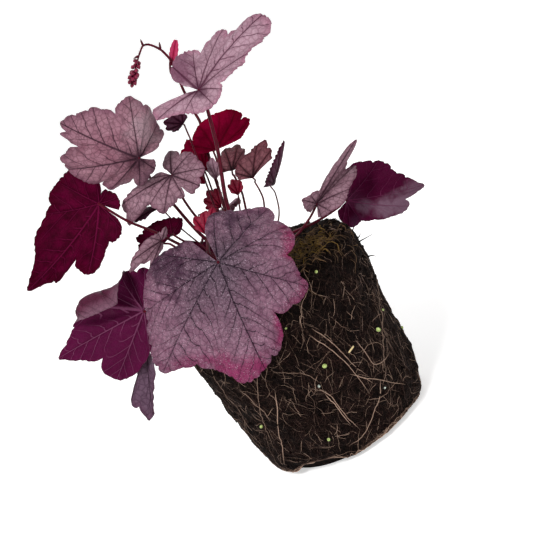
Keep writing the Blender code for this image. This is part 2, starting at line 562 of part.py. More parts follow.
def turned_mesh(rings, first_centre, last_centre):
    """Rings of points joined in turn and closed by a fan at each end, faces out."""
    rows, segments = rings.shape[:2]
    points = np.vstack([rings.reshape(-1, 3), first_centre, last_centre])
    faces = []
    for j in range(segments):
        k = (j + 1) % segments
        faces.append((rows * segments, j, k))
        faces.append((rows * segments + 1, (rows - 1) * segments + k, (rows - 1) * segments + j))
        for row in range(rows - 1):
            a, b = row * segments + j, row * segments + k
            faces.append((a, a + segments, b + segments))
            faces.append((a, b + segments, b))
    corners = points[np.array(faces)]
    volume = (corners[:, 0] * np.cross(corners[:, 1], corners[:, 2])).sum()
    if volume < 0:
        faces = [face[::-1] for face in faces]
    return points, faces


def soil_relief(row, angle):
    """Slow lumps of the soil: a few sines of the angle and of the way along the profile."""
    lumps = 0.5 * np.sin(3 * angle + 0.9 * row + 0.4) + 0.4 * np.sin(7 * angle - 1.3 * row + 2.1)
    return SOIL_ROUGHNESS * (lumps + 0.35 * np.sin(12 * angle + 2.1 * row + 4.0))


def ball_surface(row, angle):
    """Points of the root ball at a place along its profile, and the way out there.

    The profile's radius and height are read between its rows, pushed out by the
    lumps, and the skirt's lower edge is lifted where the pot had a flute.
    """
    profile = np.array(BALL_PROFILE)
    count = np.arange(len(profile))
    radius, height, share = (np.interp(row, count, profile[:, k]) for k in range(3))
    before, after = np.clip(row - 0.5, 0, count[-1]), np.clip(row + 0.5, 0, count[-1])
    along_r = np.interp(after, count, profile[:, 0]) - np.interp(before, count, profile[:, 0])
    along_z = np.interp(after, count, profile[:, 1]) - np.interp(before, count, profile[:, 1])
    length = np.hypot(along_r, along_z)
    out_r, out_z = -along_z / length, along_r / length
    lumps = share * soil_relief(row, angle)
    lift = FLUTE_DEPTH * np.exp(-((angle - FLUTE_ANGLE) / FLUTE_WIDTH) ** 4)
    lift = lift * np.clip(1 - np.abs(row - SKIRT_ROW - 0.5) / 1.5, 0, 1)
    lift = lift + 0.6 * np.sin(5 * angle + 1) * np.clip(1 - np.abs(row - SKIRT_ROW), 0, 1)
    radius = radius + lumps * out_r
    height = height + lumps * out_z + lift
    points = np.stack([radius * np.cos(angle), radius * np.sin(angle), height], axis=-1)
    out = np.stack([out_r * np.cos(angle), out_r * np.sin(angle), out_z], axis=-1)
    return points, out


def root_ball_pieces():
    """The ball and its thick roots, each a tube that wanders down the side."""
    angles = -math.pi + np.arange(BALL_SEGMENTS) * 2 * math.pi / BALL_SEGMENTS
    rows, around = np.meshgrid(np.arange(len(BALL_PROFILE)), angles, indexing="ij")
    rings, _ = ball_surface(rows, around)
    rings[BASE_ROW, :, 2] = 0
    hole = (0, 0, BALL_PROFILE[0][1])
    pieces = [turned_mesh(rings, hole, (0, 0, 0))]
    dice = np.random.default_rng(ROOT_SEED)
    for k in range(ROOT_COUNT):
        start = dice.uniform(8.2, 11.5)
        fall = dice.uniform(2.2, 4.8)
        turn = dice.uniform(-0.9, 0.9)
        way = np.linspace(0, 1, ROOT_STEPS)
        bend = 0.12 * np.sin(2 * math.pi * way * dice.uniform(0.6, 1.4) + dice.uniform(0, 6))
        row = start + fall * way
        angle = 2 * math.pi * (k + dice.uniform(-.3, .3)) / ROOT_COUNT - math.pi
        centres, out = ball_surface(row, angle + turn * way + bend)
        radii = ROOT_RADIUS * np.interp(way, (0, .2, .8, 1), (0.6, 1, 0.9, 0.5))
        sink = ROOT_SINK + 1.2 * (2 * way - 1) ** 8
        pieces.append(tube_mesh(centres - out * (sink * radii)[:, None], radii, 4))
    return pieces


def crown_piece():
    """The crown: a lumpy dome, its flat underside just above the soil, and the stub."""
    top = BALL_HEIGHT + GAP
    rim = math.acos((top - CROWN_SEAT[2]) / CROWN_RADIUS)
    angles = np.arange(CROWN_SEGMENTS) * 2 * math.pi / CROWN_SEGMENTS
    rings = []
    for share in (0.25, 0.5, 0.75, 1.0):
        slope = share * rim
        lumps = 0.5 + 0.5 * np.sin(5 * angles + 9 * share)
        reach = CROWN_RADIUS - CROWN_LUMPS * lumps * (share < 1)
        rings.append(np.stack([reach * math.sin(slope) * np.cos(angles),
                               reach * math.sin(slope) * np.sin(angles),
                               CROWN_SEAT[2] + reach * math.cos(slope)], axis=-1))
    for height in (top, top - STUB_DEPTH):
        rings.append(np.stack([STUB_RADIUS * np.cos(angles), STUB_RADIUS * np.sin(angles),
                               np.full(CROWN_SEGMENTS, height)], axis=-1))
    peak = (0, 0, CROWN_SEAT[2] + CROWN_RADIUS)
    return turned_mesh(np.array(rings), peak, (0, 0, top - STUB_DEPTH))


def bud_mesh(centre, along, radius):
    """A bud: an icosahedron stretched along the stem."""
    golden = (1 + math.sqrt(5)) / 2
    corners = []
    for a in (-1, 1):
        for b in (-golden, golden):
            corners += [(0, a, b), (a, b, 0), (b, 0, a)]
    corners = unit(np.array(corners))
    side = unit(np.cross(along, (0.3, 0.9, 0.2)))
    other = np.cross(along, side)
    points = centre + radius * (corners[:, :1] * side + corners[:, 1:2] * other
                                + 1.35 * corners[:, 2:] * along)
    faces = []
    for i in range(12):
        for j in range(i + 1, 12):
            for k in range(j + 1, 12):
                near = [np.linalg.norm(corners[a] - corners[b]) < 1.1
                        for a, b in ((i, j), (j, k), (i, k))]
                if all(near):
                    out = np.cross(points[j] - points[i], points[k] - points[i])
                    middle = (points[i] + points[j] + points[k]) / 3 - centre
                    faces.append((i, j, k) if out @ middle > 0 else (i, k, j))
    return points, faces


def stem_leaf_mesh():
    """The small leaf on the flower stem: five stations wide, a little folded."""
    base, tip = seen(STEM_LEAF_BASE), seen(STEM_LEAF_TIP)
    along = unit(tip - base)
    across = unit(np.cross(along, TOWARD))
    points = []
    for way in (0, .25, .5, .75, 1):
        half = STEM_LEAF_WIDTH / 2 * (0.12 + 0.88 * math.sin(math.pi * (0.08 + 0.84 * way)) ** 0.8)
        middle = base + (tip - base) * way
        for step in (-1, 0, 1):
            points.append(middle + step * half * across + 0.7 * abs(step) * half / 2.6 * TOWARD)
    triangles = []
    for row in range(4):
        for column in range(2):
            a = row * 3 + column
            triangles += [(a, a + 1, a + 4), (a, a + 4, a + 3)]
    return sheet_to_solid(np.array(points), triangles, TOWARD, BLADE_THICKNESS)


def flower_stem_pieces():
    """The nodding stem with its buds, bracts and small leaf."""
    way = [seen(place) for place in SCAPE_ROUTE]
    foot, _ = crown_foot(SCAPE_FOOT)
    route = [foot] + way
    steps = np.linspace(0, len(route) - 1, 2 * len(route) - 5)
    centres = smooth_through(route, steps)
    radii = np.interp(steps, (0, len(route) - 1), (SCAPE_RADIUS * 1.2, SCAPE_TIP_RADIUS))
    pieces = [tube_mesh(centres, radii, 4)]
    places = np.linspace(BUD_START, len(route) - 1, BUD_COUNT)
    spots = smooth_through(route, places)
    ahead = unit(np.gradient(spots, axis=0))
    for k, (spot, along) in enumerate(zip(spots, ahead)):
        side = unit(np.cross(along, TOWARD))
        turn = k * 2.4
        offset = math.cos(turn) * side + math.sin(turn) * np.cross(along, side)
        radius = BUD_RADIUS * (1 - 0.25 * k / BUD_COUNT)
        pieces.append(bud_mesh(spot + 0.75 * radius * offset, along, radius))
    for base, tip in BRACTS:
        line = np.linspace(seen(base), seen(tip), 3)
        pieces.append(tube_mesh(line, BRACT_RADII, 4))
    pieces.append(stem_leaf_mesh())
    return pieces


def main():
    """Clear the scene and build the plant."""
    for thing in list(bpy.data.objects):
        bpy.data.objects.remove(thing)
    plant = bpy.data.objects.new("plant", None)
    bpy.context.scene.collection.objects.link(plant)
    pieces = [
        fused("root_ball", root_ball_pieces(), np.zeros(3), SOIL),
        fused("crown", [crown_piece()], CROWN, WOODY),
        fused("flower_stem", flower_stem_pieces(), CROWN, CRIMSON)]
    for leaf in LEAVES:
        blade, upper = blade_mesh(leaf)
        stalk = stalk_mesh(leaf, upper)
        pieces.append(fused(leaf.name, [blade, stalk], placed(leaf, leaf.hub), leaf.finish))
    for piece in pieces:
        piece.parent = plant


main()
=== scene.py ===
# %% [markdown]
# A young heuchera, lifted out of its pot. Heucheras are grown for their leaves: a
# silver bloom lies between dark veins on the upper side, and the underside is deep
# burgundy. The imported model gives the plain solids. This lesson replaces each of
# them with a finer surface of the same form and gives every surface its finish.

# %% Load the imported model
import math
from dataclasses import dataclass, field

import bpy
import numpy as np
from mathutils import Matrix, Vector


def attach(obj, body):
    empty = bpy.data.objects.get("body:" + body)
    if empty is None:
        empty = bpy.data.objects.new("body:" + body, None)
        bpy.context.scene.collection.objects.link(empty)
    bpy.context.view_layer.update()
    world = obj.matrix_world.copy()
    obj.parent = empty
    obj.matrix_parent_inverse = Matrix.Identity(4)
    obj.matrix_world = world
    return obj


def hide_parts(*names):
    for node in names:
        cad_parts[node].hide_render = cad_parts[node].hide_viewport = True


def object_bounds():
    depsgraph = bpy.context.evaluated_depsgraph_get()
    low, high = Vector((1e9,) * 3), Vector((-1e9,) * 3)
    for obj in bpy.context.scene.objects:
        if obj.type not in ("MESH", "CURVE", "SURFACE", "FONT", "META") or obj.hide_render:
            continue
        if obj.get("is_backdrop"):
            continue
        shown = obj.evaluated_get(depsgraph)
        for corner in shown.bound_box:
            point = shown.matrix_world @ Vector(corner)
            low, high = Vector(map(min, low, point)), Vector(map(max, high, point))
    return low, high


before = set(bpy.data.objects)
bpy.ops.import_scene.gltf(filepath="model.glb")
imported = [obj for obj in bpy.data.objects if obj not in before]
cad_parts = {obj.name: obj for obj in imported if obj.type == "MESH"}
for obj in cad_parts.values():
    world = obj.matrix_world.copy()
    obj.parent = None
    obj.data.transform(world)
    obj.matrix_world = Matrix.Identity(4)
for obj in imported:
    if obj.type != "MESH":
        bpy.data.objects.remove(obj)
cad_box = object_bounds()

print(len(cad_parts), "solids to dress")

# %% [markdown]
# The camera stands where the photograph was taken from: 16 degrees above the soil
# and 600 mm away, turned so that the root ball leans 31 degrees in the picture.
# Everything is worked out in millimetres and divided down at the end, because a
# leaf vein is easier to think of as 0.8 than as 0.0008.

# %% View and camera
MM = 0.001
BALL_HEIGHT = 115.0
VIEW_RISE = math.radians(16)
VIEW_LEAN = math.radians(31)
VIEW_DISTANCE = 600.0
VIEW_MIDDLE = (6.9, 1.5)
FOCAL_SHARE = 1000 / 533
SENSOR = 36.0

CROWN = np.array((0.0, 0.0, BALL_HEIGHT))
UP_THE_VIEW = np.array((0.0, math.sin(VIEW_RISE), math.cos(VIEW_RISE)))
TOWARD = np.array((0.0, -math.cos(VIEW_RISE), math.sin(VIEW_RISE)))
RIGHT = np.array((math.cos(VIEW_LEAN), 0.0, 0.0)) - math.sin(VIEW_LEAN) * UP_THE_VIEW
UP = np.array((math.sin(VIEW_LEAN), 0.0, 0.0)) + math.cos(VIEW_LEAN) * UP_THE_VIEW


def seen(place):
    """A place as the picture shows it, in the plant's frame, in millimetres.

    Right and up are read on a ruler at the crown, so what is nearer to the viewer
    is smaller than it looks by its share of the viewing distance.
    """
    right, up, toward = place
    share = (VIEW_DISTANCE - toward) / VIEW_DISTANCE
    right = VIEW_MIDDLE[0] + (right - VIEW_MIDDLE[0]) * share
    up = VIEW_MIDDLE[1] + (up - VIEW_MIDDLE[1]) * share
    return CROWN + right * RIGHT + up * UP + toward * TOWARD


def make_camera():
    """A camera whose axes are the picture's right, up and toward."""
    lens = bpy.data.cameras.new("camera")
    lens.sensor_width = SENSOR
    lens.lens = SENSOR * FOCAL_SHARE
    lens.clip_start = 0.01
    lens.clip_end = 50
    camera = bpy.data.objects.new("camera", lens)
    bpy.context.scene.collection.objects.link(camera)
    eye = seen((*VIEW_MIDDLE, 0)) + VIEW_DISTANCE * TOWARD
    turn = Matrix(np.column_stack([RIGHT, UP, TOWARD]).tolist()).to_4x4()
    camera.matrix_world = Matrix.Translation((eye * MM).tolist()) @ turn
    bpy.context.scene.camera = camera
    return camera


camera = make_camera()
print("camera at", [round(x, 3) for x in camera.matrix_world.translation])

# %% [markdown]
# The plant stands on a pale floor that curves up all round it like a bowl of studio
# paper, so no horizon shows from any side. It is a profile turned about the plant's
# axis, like a pot on a wheel, and the paper glows a little, so that it stays white.

# %% Floor
FLOOR_BEND = 2.2
FLOOR_RADIUS = 1.5
FLOOR_TOP = 2.0
FLOOR_RINGS = 13
FLOOR_SEGMENTS = 64
FLOOR_DROP = 0.00003
PAPER = {"Base Color": (0.85, 0.847, 0.844, 1), "Roughness": 0.9, "Specular IOR Level": 0.1,
         "Emission Color": (1, 1, 1, 1), "Emission Strength": 0.48}


def ring_quads(index):
    """Quads between the rows of a grid, where each row is a closed ring."""
    after = np.roll(index, -1, axis=1)
    return np.stack([index[:-1], index[1:], after[1:], after[:-1]], axis=-1).reshape(-1, 4)


def cap(point, row, turn=-1):
    """Triangles from one point to a closed ring; with turn 1 they face the other way."""
    return np.stack([np.full(row.shape, point), row, np.roll(row, turn)], axis=-1)


def make_floor():
    """A bowl: level, then a quarter circle, then upright, turned round the plant's axis."""
    bend = np.linspace(0, math.pi / 2, FLOOR_RINGS)
    reach = FLOOR_BEND + FLOOR_RADIUS * np.append(np.sin(bend), 1)
    height = np.append(FLOOR_RADIUS * (1 - np.cos(bend)), FLOOR_TOP) - FLOOR_DROP
    turn = np.arange(FLOOR_SEGMENTS) * 2 * math.pi / FLOOR_SEGMENTS
    rings = np.stack([np.outer(reach, np.cos(turn)), np.outer(reach, np.sin(turn)),
                      height[:, None] + 0 * turn], axis=-1)
    index = np.arange(len(reach) * FLOOR_SEGMENTS).reshape(len(reach), FLOOR_SEGMENTS)
    faces = ring_quads(index).tolist() + cap(index.size, index[0]).tolist()
    points = np.vstack([rings.reshape(-1, 3), (0, 0, -FLOOR_DROP)])
    mesh = bpy.data.meshes.new("floor")
    mesh.from_pydata(points.tolist(), [], faces)
    mesh.shade_smooth()
    floor = bpy.data.objects.new("floor", mesh)
    bpy.context.scene.collection.objects.link(floor)
    paper = bpy.data.materials.new("paper")
    paper.use_nodes = True
    shader = paper.node_tree.nodes["Principled BSDF"]
    for name, value in PAPER.items():
        shader.inputs[name].default_value = value
    mesh.materials.append(paper)
    floor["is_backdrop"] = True
    return len(faces)


print("the paper has", make_floor(), "faces")

# %% [markdown]
# The photograph has mild shade with a soft shine on the leaves. One broad light from
# the upper left gives the shape, a weak one fills the right side, and a third picks
# out the rims from behind. An even sky keeps the shadows open.

# %% Light
SKY = (1.0, 1.0, 1.0, 1.0)
SKY_STRENGTH = 0.3
LIGHTS = {
    # place in metres, size in metres, watts
    "key": ((-0.6, -0.95, 1.35), 0.45, 19.0),
    "fill": ((1.2, -0.7, 0.7), 0.8, 2.5),
    "rim": ((0.3, 1.2, 1.0), 0.7, 5.0)}


def make_lights():
    """Square area lights aimed at the crown, and the sky's even light."""
    aim = CROWN * MM
    for name, (place, size, watts) in LIGHTS.items():
        light = bpy.data.lights.new(name, "AREA")
        light.size = size
        light.energy = watts
        lamp = bpy.data.objects.new(name, light)
        bpy.context.scene.collection.objects.link(lamp)
        back = np.array(place) - aim
        back /= np.linalg.norm(back)
        side = np.cross((0, 0, 1), back)
        side /= np.linalg.norm(side)
        turn = Matrix(np.column_stack([side, np.cross(back, side), back]).tolist()).to_4x4()
        lamp.matrix_world = Matrix.Translation(place) @ turn
    world = bpy.data.worlds.new("sky")
    world.use_nodes = True
    sky = world.node_tree.nodes["Background"]
    sky.inputs["Color"].default_value = SKY
    sky.inputs["Strength"].default_value = SKY_STRENGTH
    bpy.context.scene.world = world
    bpy.context.scene.view_settings.view_transform = "Standard"


make_lights()
print(len(LIGHTS), "lights over the paper")

# %% [markdown]
# Shader maths reads best as plain sums. This small class wraps a shader socket, so
# that `1 - mask` adds the Math node, and `make` adds any other node with its
# settings first and its inputs after.

# %% Shader maths as plain sums


class Wire:
    """One output in a material, ready for arithmetic."""

    def __init__(self, tree, socket=None):
        self.tree = tree
        self.socket = socket

    def make(self, kind, settings=None, inputs=None, output=0):
        """Add a node: its settings first, then the values or links of its sockets."""
        node = self.tree.nodes.new(kind)
        for name, value in (settings or {}).items():
            setattr(node, name, value)
        for name, value in (inputs or {}).items():
            if isinstance(value, Wire):
                self.tree.links.new(value.socket, node.inputs[name])
            else:
                node.inputs[name].default_value = value
        return Wire(self.tree, node.outputs[output])

    def maths(self, operation, *values):
        """A Math node on these values."""
        return self.make("ShaderNodeMath", {"operation": operation}, dict(enumerate(values)))

    def __add__(self, other):
        return self.maths("ADD", self, other)

    __radd__ = __add__

    def __sub__(self, other):
        return self.maths("SUBTRACT", self, other)

    def __rsub__(self, other):
        return self.maths("SUBTRACT", other, self)

    def __mul__(self, other):
        return self.maths("MULTIPLY", self, other)

    __rmul__ = __mul__

    def __truediv__(self, other):
        return self.maths("DIVIDE", self, other)

    def __rtruediv__(self, other):
        return self.maths("DIVIDE", other, self)

    def __abs__(self):
        return self.maths("ABSOLUTE", self)

    def rise(self, low, high):
        """0 below low, 1 above high, an S curve between; falls if low is the larger."""
        return self.make("ShaderNodeMapRange", {"interpolation_type": "SMOOTHSTEP"},
                         {"Value": self, "From Min": low, "From Max": high})

    def blend(self, first, second):
        """A colour between two: this is the share of the second.

        A colour is a wire, or three numbers from 0 to 255 as it looks on a screen.
        """
        first, second = (paint if isinstance(paint, Wire) else (*light_of(paint), 1)
                         for paint in (first, second))
        return self.make("ShaderNodeMix", {"data_type": "RGBA"}, {0: self, 6: first, 7: second}, 2)

    def attribute(self, name):
        """A value that the mesh carries at its corners."""
        return self.make("ShaderNodeAttribute", {"attribute_name": name}, output="Vector")

    def parts(self):
        """The three numbers of a vector."""
        split = self.make("ShaderNodeSeparateXYZ", {}, {"Vector": self})
        return [Wire(self.tree, socket) for socket in split.socket.node.outputs]

    def noise(self, per_mm, detail=3.0, rough=0.55):
        """Smooth noise from 0 to 1 at this place, with that many lumps to a millimetre."""
        return self.make("ShaderNodeTexNoise", {}, {"Vector": self, "Scale": per_mm / MM,
                                                    "Detail": detail, "Roughness": rough}, "Fac")

    def net(self, per_mm):
        """Distance from this place to the nearest wall of a net of cells, in millimetres."""
        cells = self.make("ShaderNodeTexVoronoi", {"feature": "DISTANCE_TO_EDGE"},
                          {"Vector": self, "Scale": per_mm / MM}, "Distance")
        return cells * (1 / per_mm)


print("wire class ready")

# %% [markdown]
# Every finish starts and ends alike: it reads the place on the piece, works out a
# colour, a roughness and a relief, and links these three to the shader. Colours are
# written as they look on a screen, and turned into the light that they stand for.

# %% The start and the end of a finish


def light_of(paint):
    """Screen values from 0 to 255 as light: nearly the power 2.4 of their share."""
    share = np.array(paint) / 255
    light = np.where(share <= 0.04045, share / 12.92, ((share + 0.055) / 1.055) ** 2.4)
    return tuple(light.tolist())


def new_material(name, gloss):
    """A Principled material, and the place on the piece as its first wire."""
    material = bpy.data.materials.new(name)
    material.use_nodes = True
    shader = material.node_tree.nodes["Principled BSDF"]
    shader.inputs["Specular IOR Level"].default_value = gloss
    return material, Wire(material.node_tree).make("ShaderNodeTexCoord", output="Object")


def dress(material, tint, rough, relief):
    """Link the colour, the roughness and the relief in millimetres to the shader."""
    shader = material.node_tree.nodes["Principled BSDF"]
    bump = relief.make("ShaderNodeBump", {}, {"Height": relief, "Distance": MM, "Strength": 1.0})
    for name, wire in (("Base Color", tint), ("Roughness", rough), ("Normal", bump)):
        wire.tree.links.new(wire.socket, shader.inputs[name])
    return material


print("mid grey on a screen is this much light:", round(light_of((128, 128, 128))[0], 3))

# %% [markdown]
# Each leaf is kept as a short list: where its hub is, the way its stalk takes to
# the crown, and where each lobe tip lies in the picture. A heuchera leaf is
# rounded with shallow lobes, so a list of tips and notches says nearly all of it.
# The same table made the plain solids, so the fine blades lie exactly on them.

# %% The leaves, hub by hub


@dataclass
class Leaf:
    """One leaf: its hub, the way of its stalk to the crown, and its lobes in turn.

    A lobe is (right, up, toward, cut): where its tip is and how deep the notch
    after it cuts in, as a share of the blade's reach there. Lobes run clockwise
    seen from the upper side, from one side of the slit round to the other.
    foot is where the stalk leaves the crown: its bearing and its height in degrees.
    teeth is how deep the small teeth of the rim are, against the usual depth.
    bulges moves the middle of a lobe's vein off the straight line to its tip.
    """
    name: str
    hub: tuple
    route: list
    lobes: list
    foot: tuple = (0, 60)
    stalk: float = 1.0
    arch: float = 0.06
    own_axes: bool = False
    teeth: float = 1.0
    bulges: dict = field(default_factory=dict)


